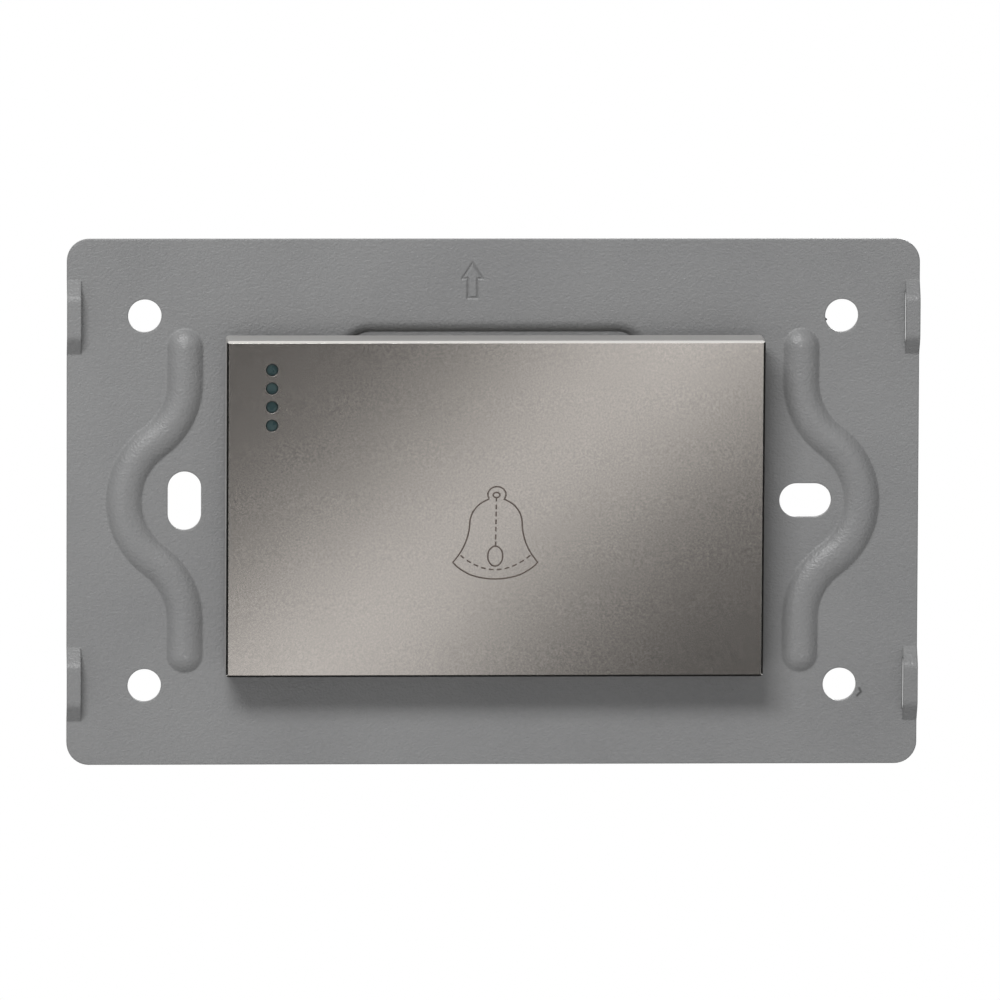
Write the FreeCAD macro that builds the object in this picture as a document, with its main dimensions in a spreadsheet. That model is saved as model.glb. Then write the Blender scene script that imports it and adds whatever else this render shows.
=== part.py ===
import FreeCAD, Part
import Sketcher
import math
import os
import re

# Flush doorbell push for a wall box: a pressed steel mounting plate, a large sprung rocker
# in front of it and a moulded switch housing behind it. Lengths are millimetres, angles degrees.
# X runs to the right, Z up, and the front faces -Y. The origin is the centre of the plate's four
# corner holes, in the plane of the plate's rear face, which is the face that lies on the wall.

os.makedirs("parts", exist_ok=True)
doc = FreeCAD.newDocument("DoorbellPush")

SIZES = [
    # Mounting plate
    ("PlateLength", 114.5),
    ("PlateHeight", 70.95),
    ("PlateDrop", 0.2),
    ("PlateThickness", 1.2),
    ("PlateCorner", 3.0),
    ("CornerPitchAcross", 93.6),
    ("CornerPitchUp", 49.9),
    ("CornerHole", 4.5),
    ("BoxScrewPitch", 83.5),
    ("BoxScrewShift", 0.3),
    ("LeftSlotWidth", 4.5),
    ("LeftSlotLength", 8.0),
    ("RightSlotWidth", 4.6),
    ("RightSlotLength", 7.0),
    ("OpeningGap", 0.6),
    ("OpeningCorner", 2.5),
    # Tray pressed back round the opening
    ("TrayWidth", 40.8),
    ("TrayLapTop", 6.95),
    ("TrayLapBottom", 5.65),
    ("TrayDepth", 1.0),
    ("TrayRun", 0.55),
    ("TrayCorner", 3.9),
    # Stiffening ribs pressed forward round the slots
    ("RibInner", 41.4),
    ("RibBow", 8.2),
    ("RibReach", 16.0),
    ("RibEnd", 20.8),
    ("RibWidth", 5.1),
    ("RibRise", 1.15),
    ("RibFoot", 0.3),
    ("RibRoot", 0.4),
    # Lugs lanced out of the plate's side edges
    ("LugWidth", 1.9),
    ("LugCentre", 24.8),
    ("LugLength", 10.0),
    ("LugSlope", 2.3),
    ("LugRise", 1.8),
    ("LugBend", 1.6),
    # Rocker: where it turns and how far
    ("PivotDepth", 1.0),
    ("RestTilt", 2.0),
    ("PressAngle", 4.5),
    ("TrunnionRadius", 1.9),
    ("RunningGap", 0.05),
    # Cap
    ("CapWidth", 72.1),
    ("CapLapUp", 6.35),
    ("CapDepth", 5.6),
    ("CapFront", 9.5),
    ("CapWall", 1.1),
    ("CapFace", 1.2),
    ("CapBevel", 0.3),
    ("WindowInset", 6.05),
    ("WindowTop", 3.9),
    ("WindowStep", 2.5),
    ("WindowHole", 1.7),
    ("SnapInset", 14.0),
    ("SnapUp", 14.0),
    ("SnapWidth", 3.0),
    ("SnapThickness", 1.2),
    ("SnapHook", 0.6),
    # Carrier under the cap
    ("CarrierPlate", 1.8),
    ("CarrierRib", 1.6),
    ("CarrierRibWidth", 1.0),
    ("CheekThickness", 1.3),
    ("CheekRadius", 3.6),
    ("StopInset", 0.4),
    ("StopAcross", 20.0),
    ("StopWidth", 4.0),
    ("StopThickness", 1.6),
    ("SeatGap", 0.1),
    ("FitGap", 0.3),
    # Plunger in the carrier's boss
    ("PlungerRadius", 1.95),
    ("PlungerNose", 1.2),
    ("PlungerBody", 7.4),
    ("BossWall", 1.2),
    ("BossReach", 6.5),
    ("BossFloor", 1.5),
    # Front frame
    ("FlangeLapAcross", 3.6),
    ("FlangeLapUp", 2.2),
    ("FlangeThickness", 1.0),
    ("SkirtWall", 1.3),
    ("SkirtDepth", 6.2),
    ("SkirtGap", 0.2),
    ("CheekGap", 0.5),
    ("FrameCorner", 1.0),
    ("TabWidth", 35.0),
    ("TabLap", 4.7),
    ("BarFront", 2.8),
    ("BarThickness", 1.8),
    ("BarMargin", 1.75),
    ("BarHeight", 6.4),
    # Return springs
    ("SpringAcross", 14.0),
    ("SpringInset", 5.4),
    ("SpringRadius", 2.0),
    ("SpringWire", 0.5),
    ("CupDepth", 0.6),
    ("PegRadius", 1.3),
    ("PegHeight", 1.5),
    # Plunger spring
    ("InnerSpringRadius", 1.4),
    ("InnerSpringWire", 0.4),
    # Frame screws
    ("ScrewAcross", 14.0),
    ("ScrewLap", 2.6),
    ("ScrewRadius", 1.15),
    ("ScrewHead", 1.8),
    ("ScrewHeadHeight", 1.2),
    ("ScrewLength", 7.5),
    ("ScrewSlot", 0.5),
    # Switch housing
    ("HousingWidth", 60.8),
    ("HousingHeight", 32.8),
    ("HousingDepth", 24.0),
    ("HousingWall", 1.5),
    ("HousingBack", 1.6),
    ("HousingCorner", 2.0),
    ("HousingRound", 1.0),
    ("EarRadius", 2.4),
    ("EarDepth", 6.0),
    ("WebThickness", 1.5),
    ("WireEntry", 3.0),
    ("AccessHole", 2.2),
    ("CellWall", 1.0),
    ("PanelWidth", 26.0),
    ("PanelHeight", 13.0),
    ("PanelLow", -1.0),
    ("PanelDepth", 0.4),
    # Contact blade and its fulcrum
    ("BladePivot", 12.75),
    ("BladeTilt", 3.0),
    ("BladeWidth", 5.0),
    ("BladeLength", 19.0),
    ("BladeThickness", 0.6),
    ("EdgeGap", 0.15),
    ("CradleWidth", 4.6),
    ("CradleEar", 0.8),
    ("StripFront", 14.0),
    ("StripThickness", 0.8),
    ("StripWidth", 4.8),
    ("ContactDrop", 8.0),
    ("ContactRadius", 1.6),
    ("ContactHead", 0.4),
    ("RivetShank", 0.8),
    ("RivetTail", 1.2),
    # Wire clamps
    ("ClampAcross", 24.4),
    ("ClampWidth", 8.4),
    ("ClampLength", 9.0),
    ("ClampDepth", 7.2),
    ("TunnelRadius", 2.0),
    ("TunnelWall", 0.9),
    ("ClampScrewRadius", 1.3),
    ("ClampScrewLength", 3.8),
    ("ClampScrewUp", 4.0),
    # Indicator board behind the cap's windows
    ("BoardInset", 2.4),
    ("BoardDrop", 10.8),
    ("BoardHeight", 11.0),
    ("BoardThickness", 0.8),
    ("GuideWidth", 4.8),
    ("GuideThickness", 1.1),
    ("GuideMargin", 1.8),
    ("LampWidth", 1.8),
    ("LampLength", 3.2),
    ("LampHeight", 0.7),
    ("ResistorRadius", 0.8),
    ("ResistorLength", 4.4),
    ("LeadRadius", 0.5),
    ("LeadGap", 0.5),
    ("LeadInset", 1.2),
    ("LeadBend", 3.0),
    ("LeadRun", 9.0),
    ("LeadPad", 1.6),
    ("LineLeadUp", 8.4),
    ("BellLeadInset", 4.0),
]

sheet = doc.addObject("Spreadsheet::Sheet", "Sizes")
for row, (name, number) in enumerate(SIZES, start=1):
    sheet.set("A%d" % row, name)
    sheet.set("B%d" % row, str(number))
    sheet.setAlias("B%d" % row, name)
doc.recompute()

# Places worked out from the sizes, shared by the pieces that meet there
PLATE_FRONT = "-PlateThickness"
FLANGE_FRONT = "(-PlateThickness - FlangeThickness)"
OPENING_HALF_WIDTH = "(HousingWidth / 2 + OpeningGap)"
OPENING_HALF_HEIGHT = "(HousingHeight / 2 + OpeningGap)"
TRAY_TOP = "(HousingHeight / 2 + TrayLapTop)"
TRAY_BOTTOM = "(HousingHeight / 2 + TrayLapBottom)"
TRAY_FLOOR = "(TrayDepth - PlateThickness)"
TRAY_REAR = "TrayDepth"
# the rear of a bent sheet's slope lies this far outside its front
TRAY_OFFSET = "(PlateThickness * tan(atan(TrayDepth / TrayRun) / 2))"
# the bend at the mouth takes most of the slope, so that the sheet rolls over in one soft curve
TRAY_BEND = "(0.85 * sqrt(TrayDepth ^ 2 + TrayRun ^ 2) / tan(atan(TrayDepth / TrayRun) / 2))"
# seen from the pivot, so in the rocker's own frame
CAP_HALF_HEIGHT = "(HousingHeight / 2 + CapLapUp)"
CAP_INNER = "(-CapFront + CapFace)"
CARRIER_REAR = "(-CapFront + CapFace + CarrierPlate)"
FLANGE_STOP = "(-PlateThickness - FlangeThickness - PivotDepth)"
BOSS_BOTTOM = "(-CapFront + CapFace + BossFloor)"
PLUNGER_TIP = "(BladePivot - EdgeGap - BladeThickness - FitGap - PivotDepth)"
FLANGE_HALF_WIDTH = "(HousingWidth / 2 + FlangeLapAcross)"
FLANGE_HALF_HEIGHT = "(HousingHeight / 2 + FlangeLapUp)"
SCREW_UP = "(HousingHeight / 2 + ScrewLap)"
STOP_UP = "(HousingHeight / 2 - StopInset)"
SPRING_UP = "(HousingHeight / 2 - SpringInset)"
BAR_HALF_WIDTH = "(SpringAcross + SpringRadius + SpringWire / 2 + BarMargin)"
SNAP_ACROSS = "(CapWidth / 2 - SnapInset)"
SKIRT_HALF_WIDTH = "(HousingWidth / 2 - HousingWall - SkirtGap)"
SKIRT_HALF_HEIGHT = "(HousingHeight / 2 - HousingWall - SkirtGap)"
CHEEK_OUTER = "(HousingWidth / 2 - HousingWall - SkirtGap - SkirtWall - CheekGap)"
HOUSING_INNER_BACK = "(HousingDepth - HousingBack)"
CONTACT_PILLAR = "(ContactRadius + CellWall)"
STRIP_REAR = "(StripFront + StripThickness)"
CONTACT_FACE = "(StripFront - ContactHead)"
TUNNEL_DEPTH = "(StripFront + StripThickness + TunnelWall + TunnelRadius)"
CLAMP_LOW = "(-HousingHeight / 2 + HousingWall + FitGap)"
CLAMP_SCREW_UP = "(-HousingHeight / 2 + HousingWall + FitGap + ClampScrewUp)"
BOARD_FRONT = "(-PlateThickness - FlangeThickness - BoardThickness)"
BOARD_LOW = "(HousingHeight / 2 - BoardDrop)"
LEAD_ACROSS = "(HousingWidth / 2 - HousingWall - SkirtGap - SkirtWall - LeadGap - LeadRadius)"
BELL_LEAD_UP = "(HousingHeight / 2 - BellLeadInset)"
BOARD_OUTER = "(CapWidth / 2 - BoardInset)"
BOARD_INNER = "(%s - LeadInset)" % LEAD_ACROSS
WINDOW_ACROSS = "(-CapWidth / 2 + WindowInset)"
SAME_PLACE = 0.001
WINDOW_COUNT = 4
GUIDE_LOW = "(%s - WindowTop - %d * WindowStep - GuideMargin)" % (CAP_HALF_HEIGHT, WINDOW_COUNT - 1)
EAR_INNER = "(BladeWidth / 2 + CheekGap)"
CRADLE_REACH = "(BladeWidth / 2 + CheekGap + CradleEar + FitGap)"
STRIP_OUTER = "(ClampAcross + ClampWidth / 2 - FitGap)"
STRIP_INNER = "(ClampAcross - ClampWidth / 2 + FitGap)"
STRIP_LOW = "(-HousingHeight / 2 + HousingWall + 2 * FitGap)"
WIRE_SIDES = 6
SPRING_TURNS = 5
INNER_SPRING_TURNS = 6


def named(formula):
    """The formula with each size's name turned into its cell."""
    return re.sub(r"\b[A-Z]\w+", r"Sizes.\g<0>", formula)


def worked(formula):
    """The formula's value."""
    answer = sheet.evalExpression(named(formula))
    return float(getattr(answer, "Value", answer))


def bind(thing, field, formula):
    thing.setExpression(field, named(formula))


def new_body(name, place=("0", "0", "0"), tilt=None):
    """An empty body, standing at a place and turned about X."""
    body = doc.addObject("PartDesign::Body", name)
    body.Label = name
    if tilt is not None:
        body.Placement = FreeCAD.Placement(FreeCAD.Vector(), FreeCAD.Rotation(FreeCAD.Vector(1, 0, 0), 1))
        bind(body, "Placement.Rotation.Angle", tilt)
    for axis, formula in zip("xyz", place):
        bind(body, "Placement.Base." + axis, formula)
    return body


def sketch_on(body, role, name, level="0", shift=("0", "0")):
    """A sketch parallel to an origin plane of the body, at a level along X, Y or Z."""
    sketch = body.newObject("Sketcher::SketchObject", name)
    plane = next(f for f in body.Origin.OriginFeatures if f.Role == role)
    sketch.AttachmentSupport = [(plane, "")]
    sketch.MapMode = "FlatFace"
    sign = "-" if role == "XZ_Plane" else ""
    bind(sketch, "AttachmentOffset.Base.x", shift[0])
    bind(sketch, "AttachmentOffset.Base.y", shift[1])
    bind(sketch, "AttachmentOffset.Base.z", "%s(%s)" % (sign, level))
    return sketch


def dimension(sketch, kind, elements, formula):
    index = sketch.addConstraint(Sketcher.Constraint(kind, *elements, worked(formula)))
    bind(sketch, "Constraints[%d]" % index, formula)


def hold_point(sketch, element, end, place):
    """Holds one point of an element by its distances from the sketch's own origin."""
    dimension(sketch, "DistanceX", (-1, 1, element, end), place[0])
    dimension(sketch, "DistanceY", (-1, 1, element, end), place[1])


def add_line(sketch, start, end):
    segment = Part.LineSegment(FreeCAD.Vector(*start, 0), FreeCAD.Vector(*end, 0))
    return sketch.addGeometry(segment, False)


def add_arc(sketch, centre, radius, first, last):
    """An arc about a centre, anticlockwise between two angles in radians."""
    circle = Part.Circle(FreeCAD.Vector(*centre, 0), FreeCAD.Vector(0, 0, 1), radius)
    return sketch.addGeometry(Part.ArcOfCircle(circle, first, last), False)


def draw_outline(sketch, corners):
    """A closed outline of straight lines through its corners."""
    points = [(worked(x), worked(y)) for x, y in corners]
    lines = [add_line(sketch, start, end) for start, end in zip(points, points[1:] + points[:1])]
    for line, following in zip(lines, lines[1:] + lines[:1]):
        sketch.addConstraint(Sketcher.Constraint("Coincident", line, 2, following, 1))
    for line, corner in zip(lines, corners):
        hold_point(sketch, line, 1, corner)


def draw_box(sketch, left, right, low, high):
    draw_outline(sketch, [(left, low), (right, low), (right, high), (left, high)])


def draw_rounded_box(sketch, left, right, low, high, radius):
    """A rectangle with four equal round corners."""
    x0, x1, y0, y1, r = (worked(f) for f in (left, right, low, high, radius))

    def corner(x, y, start):
        return add_arc(sketch, (x, y), r, start, start + math.pi / 2)

    lower = add_line(sketch, (x0 + r, y0), (x1 - r, y0))
    lower_right = corner(x1 - r, y0 + r, 1.5 * math.pi)
    right_side = add_line(sketch, (x1, y0 + r), (x1, y1 - r))
    upper_right = corner(x1 - r, y1 - r, 0)
    upper = add_line(sketch, (x1 - r, y1), (x0 + r, y1))
    upper_left = corner(x0 + r, y1 - r, 0.5 * math.pi)
    left_side = add_line(sketch, (x0, y1 - r), (x0, y0 + r))
    lower_left = corner(x0 + r, y0 + r, math.pi)
    loop = [lower, lower_right, right_side, upper_right, upper, upper_left, left_side, lower_left]
    for element, following in zip(loop, loop[1:] + loop[:1]):
        sketch.addConstraint(Sketcher.Constraint("Tangent", element, 2, following, 1))
    for element in (lower, upper):
        sketch.addConstraint(Sketcher.Constraint("Horizontal", element))
    for element in (right_side, left_side):
        sketch.addConstraint(Sketcher.Constraint("Vertical", element))
    dimension(sketch, "Radius", (lower_right,), radius)
    for element in (upper_right, upper_left, lower_left):
        sketch.addConstraint(Sketcher.Constraint("Equal", lower_right, element))
    dimension(sketch, "DistanceY", (-1, 1, lower, 1), low)
    dimension(sketch, "DistanceY", (-1, 1, upper, 1), high)
    dimension(sketch, "DistanceX", (-1, 1, right_side, 1), right)
    dimension(sketch, "DistanceX", (-1, 1, left_side, 1), left)


def draw_centred_box(sketch, half_width, half_height, radius=None):
    sides = ("-" + half_width, half_width, "-" + half_height, half_height)
    if radius is None:
        draw_box(sketch, *sides)
    else:
        draw_rounded_box(sketch, *sides, radius)


def draw_circle(sketch, place, radius):
    centre = FreeCAD.Vector(worked(place[0]), worked(place[1]), 0)
    circle = sketch.addGeometry(Part.Circle(centre, FreeCAD.Vector(0, 0, 1), worked(radius)), False)
    hold_point(sketch, circle, 3, place)
    dimension(sketch, "Radius", (circle,), radius)


def draw_slot(sketch, place, length, width, upright):
    """A slot with round ends, measured over its ends."""
    reach = "(%s - %s) / 2" % (length, width)
    x, y, half, r = (worked(f) for f in (*place, reach, width + " / 2"))
    turn = math.pi / 2 if upright else 0

    def at(along, aside):
        """A point that far along the slot from its middle and that far to its left."""
        across = x + along * math.cos(turn) - aside * math.sin(turn)
        return across, y + along * math.sin(turn) + aside * math.cos(turn)

    far_end = add_arc(sketch, at(half, 0), r, turn - math.pi / 2, turn + math.pi / 2)
    upper = add_line(sketch, at(half, r), at(-half, r))
    near_end = add_arc(sketch, at(-half, 0), r, turn + math.pi / 2, turn + 1.5 * math.pi)
    lower = add_line(sketch, at(-half, -r), at(half, -r))
    loop = [far_end, upper, near_end, lower]
    for element, following in zip(loop, loop[1:] + loop[:1]):
        sketch.addConstraint(Sketcher.Constraint("Tangent", element, 2, following, 1))
    sketch.addConstraint(Sketcher.Constraint("Equal", far_end, near_end))
    dimension(sketch, "Radius", (far_end,), width + " / 2")
    for element, sign in ((far_end, "+"), (near_end, "-")):
        if upright:
            hold_point(sketch, element, 3, (place[0], "%s %s %s" % (place[1], sign, reach)))
        else:
            hold_point(sketch, element, 3, ("%s %s %s" % (place[0], sign, reach), place[1]))


def draw_ridge(sketch, half):
    """A rounded ridge's section, rising towards -Y: a broad crest, a small round foot and a flat root.

    With half, only the side with positive X is drawn, for a round end."""
    width, rise, foot_radius = (worked(f) for f in ("RibWidth / 2", "RibRise", "RibFoot"))
    crest_formula = "((RibWidth / 2) ^ 2 + RibRise ^ 2) / (2 * RibRise) - RibFoot"
    crest_radius = worked(crest_formula)
    swing = 2 * math.atan2(rise, width)
    base = worked(PLATE_FRONT)

    def side(sign):
        """The crest's arc and the foot's arc, which meet in a tangent."""
        crest_turn = sorted((1.5 * math.pi, 1.5 * math.pi + sign * swing))
        foot_turn = sorted((0.5 * math.pi, 0.5 * math.pi + sign * swing))
        crest = add_arc(sketch, (0, base - rise + crest_radius), crest_radius, *crest_turn)
        return crest, add_arc(sketch, (sign * width, base - foot_radius), foot_radius, *foot_turn)

    root_level = "(%s + RibRoot)" % PLATE_FRONT
    floor = worked(root_level)
    top, foot = side(1)
    outer = add_line(sketch, (width, base), (width, floor))
    sketch.addConstraint(Sketcher.Constraint("Tangent", top, 2, foot, 2))
    sketch.addConstraint(Sketcher.Constraint("Coincident", foot, 1, outer, 1))
    dimension(sketch, "Radius", (top,), crest_formula)
    dimension(sketch, "Radius", (foot,), "RibFoot")
    hold_point(sketch, foot, 1, ("RibWidth / 2", PLATE_FRONT))
    hold_point(sketch, top, 1, ("0", "%s - RibRise" % PLATE_FRONT))
    sketch.addConstraint(Sketcher.Constraint("PointOnObject", top, 3, -2))
    hold_point(sketch, outer, 2, ("RibWidth / 2", root_level))
    if half:
        inner = add_line(sketch, (width, floor), (0, floor))
        centre = add_line(sketch, (0, floor), (0, base - rise))
        sketch.addConstraint(Sketcher.Constraint("Coincident", outer, 2, inner, 1))
        sketch.addConstraint(Sketcher.Constraint("Coincident", inner, 2, centre, 1))
        sketch.addConstraint(Sketcher.Constraint("Coincident", centre, 2, top, 1))
        hold_point(sketch, inner, 2, ("0", root_level))
        return
    left_top, left_foot = side(-1)
    left_outer = add_line(sketch, (-width, base), (-width, floor))
    inner = add_line(sketch, (width, floor), (-width, floor))
    sketch.addConstraint(Sketcher.Constraint("Coincident", left_top, 2, top, 1))
    sketch.addConstraint(Sketcher.Constraint("Tangent", left_top, 1, left_foot, 1))
    sketch.addConstraint(Sketcher.Constraint("Coincident", left_foot, 2, left_outer, 1))
    sketch.addConstraint(Sketcher.Constraint("Coincident", outer, 2, inner, 1))
    sketch.addConstraint(Sketcher.Constraint("Coincident", inner, 2, left_outer, 2))
    sketch.addConstraint(Sketcher.Constraint("Equal", top, left_top))
    sketch.addConstraint(Sketcher.Constraint("Equal", foot, left_foot))
    sketch.addConstraint(Sketcher.Constraint("PointOnObject", left_top, 3, -2))
    hold_point(sketch, left_foot, 2, ("-RibWidth / 2", PLATE_FRONT))
    hold_point(sketch, inner, 2, ("-RibWidth / 2", root_level))


def pad(body, sketch, length, rear=False):
    """Adds material along the sketch's normal, or the other way with rear."""
    feature = body.newObject("PartDesign::Pad", sketch.Name + "Pad")
    feature.Profile = sketch
    feature.Reversed = rear
    bind(feature, "Length", length)
    return feature


def cut(body, sketch, length=None, ahead=False):
    """Removes material against the sketch's normal, or along it with ahead; all of it without a length."""
    feature = body.newObject("PartDesign::Pocket", sketch.Name + "Cut")
    feature.Profile = sketch
    feature.Reversed = ahead
    if length is None:
        feature.Type = "ThroughAll"
    else:
        bind(feature, "Length", length)
    return feature


def spin(body, sketch, angle=360, back=False, kind="PartDesign::Revolution"):
    """Turns a sketch about its own upright axis."""
    feature = body.newObject(kind, sketch.Name + "Turn")
    feature.Profile = sketch
    feature.ReferenceAxis = (sketch, ["V_Axis"])
    feature.Angle = angle
    feature.Reversed = back
    return feature


def edges_where(feature, test):
    """Names of the feature's edges whose middle point passes the test."""
    names = []
    for number, edge in enumerate(feature.Shape.Edges, start=1):
        middle = edge.valueAt((edge.FirstParameter + edge.LastParameter) / 2)
        if test(edge, middle):
            names.append("Edge%d" % number)
    return names


def draw_rib_path(sketch):
    """The ribs' centre line: straight at both ends, bowed out round the slot by three tangent arcs."""
    inner, bow, reach, end = (worked(f) for f in ("RibInner", "RibBow", "RibReach", "RibEnd"))
    radius = (bow ** 2 + reach ** 2) / (4 * bow)
    swing = 2 * math.atan2(bow, reach)
    upper = add_line(sketch, (inner, end), (inner, reach))
    leave = add_arc(sketch, (inner + radius, reach), radius, math.pi, math.pi + swing)
    middle = add_arc(sketch, (inner + bow - radius, 0), radius, -swing, swing)
    back = add_arc(sketch, (inner + radius, -reach), radius, math.pi - swing, math.pi)
    lower = add_line(sketch, (inner, -reach), (inner, -end))
    sketch.addConstraint(Sketcher.Constraint("Tangent", upper, 2, leave, 1))
    sketch.addConstraint(Sketcher.Constraint("Tangent", leave, 2, middle, 2))
    sketch.addConstraint(Sketcher.Constraint("Tangent", middle, 1, back, 1))
    sketch.addConstraint(Sketcher.Constraint("Tangent", back, 2, lower, 1))
    for arc in (leave, middle, back):
        dimension(sketch, "Radius", (arc,), "(RibBow ^ 2 + RibReach ^ 2) / (4 * RibBow)")
    hold_point(sketch, upper, 1, ("RibInner", "RibEnd"))
    hold_point(sketch, upper, 2, ("RibInner", "RibReach"))
    hold_point(sketch, lower, 1, ("RibInner", "-RibReach"))
    hold_point(sketch, lower, 2, ("RibInner", "-RibEnd"))


def rib_features(body, prefix, level, pipe_kind, turn_kind):
    """One rib's ridge, or the groove behind it: a section carried along the path, with round ends."""
    features = []
    path = sketch_on(body, "XZ_Plane", prefix + "Path")
    draw_rib_path(path)
    section = sketch_on(body, "XY_Plane", prefix + "Section", "RibEnd", ("RibInner", level))
    draw_ridge(section, False)
    pipe = body.newObject(pipe_kind, prefix + "Run")
    pipe.Profile = section
    pipe.Spine = path
    features.append(pipe)
    doc.recompute()
    for end, sign in (("Upper", ""), ("Lower", "-")):
        turned = sketch_on(body, "XY_Plane", prefix + end, sign + "RibEnd", ("RibInner", level))
        draw_ridge(turned, True)
        features.append(spin(body, turned, 180, end == "Upper", turn_kind))
        doc.recompute()
    return features


def mounting_plate():
    body = new_body("mounting_plate")
    outline = sketch_on(body, "XZ_Plane", "PlateOutline", "0", ("0", "-PlateDrop"))
    draw_centred_box(outline, "PlateLength / 2", "PlateHeight / 2", "PlateCorner")
    pad(body, outline, "PlateThickness")

    # tray: the same bend on both sides of the sheet, so the rear outline is larger by the offset
    sections = (("Rear", TRAY_OFFSET, "0", TRAY_REAR, "PartDesign::AdditiveLoft"),
                ("Front", "0", PLATE_FRONT, TRAY_FLOOR, "PartDesign::SubtractiveLoft"))
    for side, grow, start, end, kind in sections:
        steps = []
        for step, level, inset in (("Mouth", start, "0"), ("Floor", end, "TrayRun")):
            sketch = sketch_on(body, "XZ_Plane", "Tray" + side + step, level)
            draw_rounded_box(
                sketch,
                "-TrayWidth / 2 - %s + %s" % (grow, inset),
                "TrayWidth / 2 + %s - %s" % (grow, inset),
                "-%s - %s + %s" % (TRAY_BOTTOM, grow, inset),
                "%s + %s - %s" % (TRAY_TOP, grow, inset),
                "TrayCorner + %s - %s" % (grow, inset),
            )
            steps.append(sketch)
        loft = body.newObject(kind, "Tray" + side)
        loft.Profile = steps[0]
        loft.Sections = [steps[1]]
        loft.Ruled = True
    doc.recompute()
    front, tray_side, tray_top = (worked(f) for f in (PLATE_FRONT, "TrayWidth / 2", TRAY_TOP))
    bend = body.newObject("PartDesign::Fillet", "TrayMouthBend")
    bend.Base = (loft, edges_where(
        loft, lambda edge, middle: abs(middle.y - front) < SAME_PLACE
        and abs(middle.x) < tray_side + SAME_PLACE and abs(middle.z) < tray_top + SAME_PLACE
    ))
    bind(bend, "Radius", TRAY_BEND)

    opening = sketch_on(body, "XZ_Plane", "Opening", "%s - TrayDepth" % PLATE_FRONT)
    draw_centred_box(opening, OPENING_HALF_WIDTH, OPENING_HALF_HEIGHT, "OpeningCorner")
    cut(body, opening)

    # lugs along both side edges: a strip sheared free and pressed forward between two slopes
    for side in (-1, 1):
        for end in (-1, 1):
            tag = ("Left" if side < 0 else "Right") + ("Low" if end < 0 else "High")
            inner = "%d * (PlateLength / 2 - LugWidth)" % side
            beyond = "%d * (PlateLength / 2 + LugWidth)" % side
            near = "%d * (LugCentre - LugLength / 2)" % end
            near_top = "%d * (LugCentre - LugLength / 2 + LugSlope)" % end
            far_top = "%d * (LugCentre + LugLength / 2 - LugSlope)" % end
            far = "%d * (LugCentre + LugLength / 2)" % end
            window = sketch_on(body, "XZ_Plane", "LugWindow" + tag, "%s - TrayDepth" % PLATE_FRONT)
            draw_box(window, inner, beyond, near, far)
            cut(body, window)
            bridge = sketch_on(body, "YZ_Plane", "LugBridge" + tag, inner)
            draw_outline(bridge, [
                ("0", near), ("-LugRise", near_top), ("-LugRise", far_top), ("0", far),
                (PLATE_FRONT, far), ("-PlateThickness - LugRise", far_top),
                ("-PlateThickness - LugRise", near_top), (PLATE_FRONT, near),
            ])
            lug = pad(body, bridge, "LugWidth", side < 0)
    doc.recompute()
    crest, width = worked("-PlateThickness - LugRise"), worked("LugWidth")
    bends = body.newObject("PartDesign::Fillet", "LugBends")
    bends.Base = (lug, edges_where(
        lug, lambda edge, middle: abs(middle.y - crest) < SAME_PLACE and abs(edge.Length - width) < SAME_PLACE
    ))
    bind(bends, "Radius", "LugBend")
    doc.recompute()

    # ridge in front, groove behind, so that the sheet keeps its thickness; then the other side's rib
    features = rib_features(body, "Ridge", "0", "PartDesign::AdditivePipe", "PartDesign::Revolution")
    features += rib_features(
        body, "Groove", "PlateThickness", "PartDesign::SubtractivePipe", "PartDesign::Groove"
    )
    mirror = body.newObject("PartDesign::Mirrored", "OtherRib")
    mirror.Originals = features
    mirror.MirrorPlane = (next(f for f in body.Origin.OriginFeatures if f.Role == "YZ_Plane"), [""])
    body.Tip = mirror
    doc.recompute()

    holes = sketch_on(body, "XZ_Plane", "CornerHoles", "%s - TrayDepth" % PLATE_FRONT)
    for across in ("-", ""):
        for up in ("-", ""):
            corner = (across + "CornerPitchAcross / 2", up + "CornerPitchUp / 2")
            draw_circle(holes, corner, "CornerHole / 2")
            draw_circle(holes, (across + "ScrewAcross", up + SCREW_UP), "ScrewRadius + FitGap")
    cut(body, holes)
    slots = sketch_on(
        body, "XZ_Plane", "BoxScrewSlots", "%s - TrayDepth" % PLATE_FRONT, ("BoxScrewShift", "0")
    )
    draw_slot(slots, ("-BoxScrewPitch / 2", "0"), "LeftSlotLength", "LeftSlotWidth", True)
    draw_slot(slots, ("BoxScrewPitch / 2", "0"), "RightSlotLength", "RightSlotWidth", False)
    cut(body, slots)
    return body


def rocker_body(name):
    """A body in the rocker's own frame: origin on the trunnion axis, tilted to its rest."""
    return new_body(name, ("0", "PivotDepth", "0"), "RestTilt")


def window_place(number):
    """The middle of one of the cap's windows, counted from the top."""
    return WINDOW_ACROSS, "%s - WindowTop - %d * WindowStep" % (CAP_HALF_HEIGHT, number)


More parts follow.
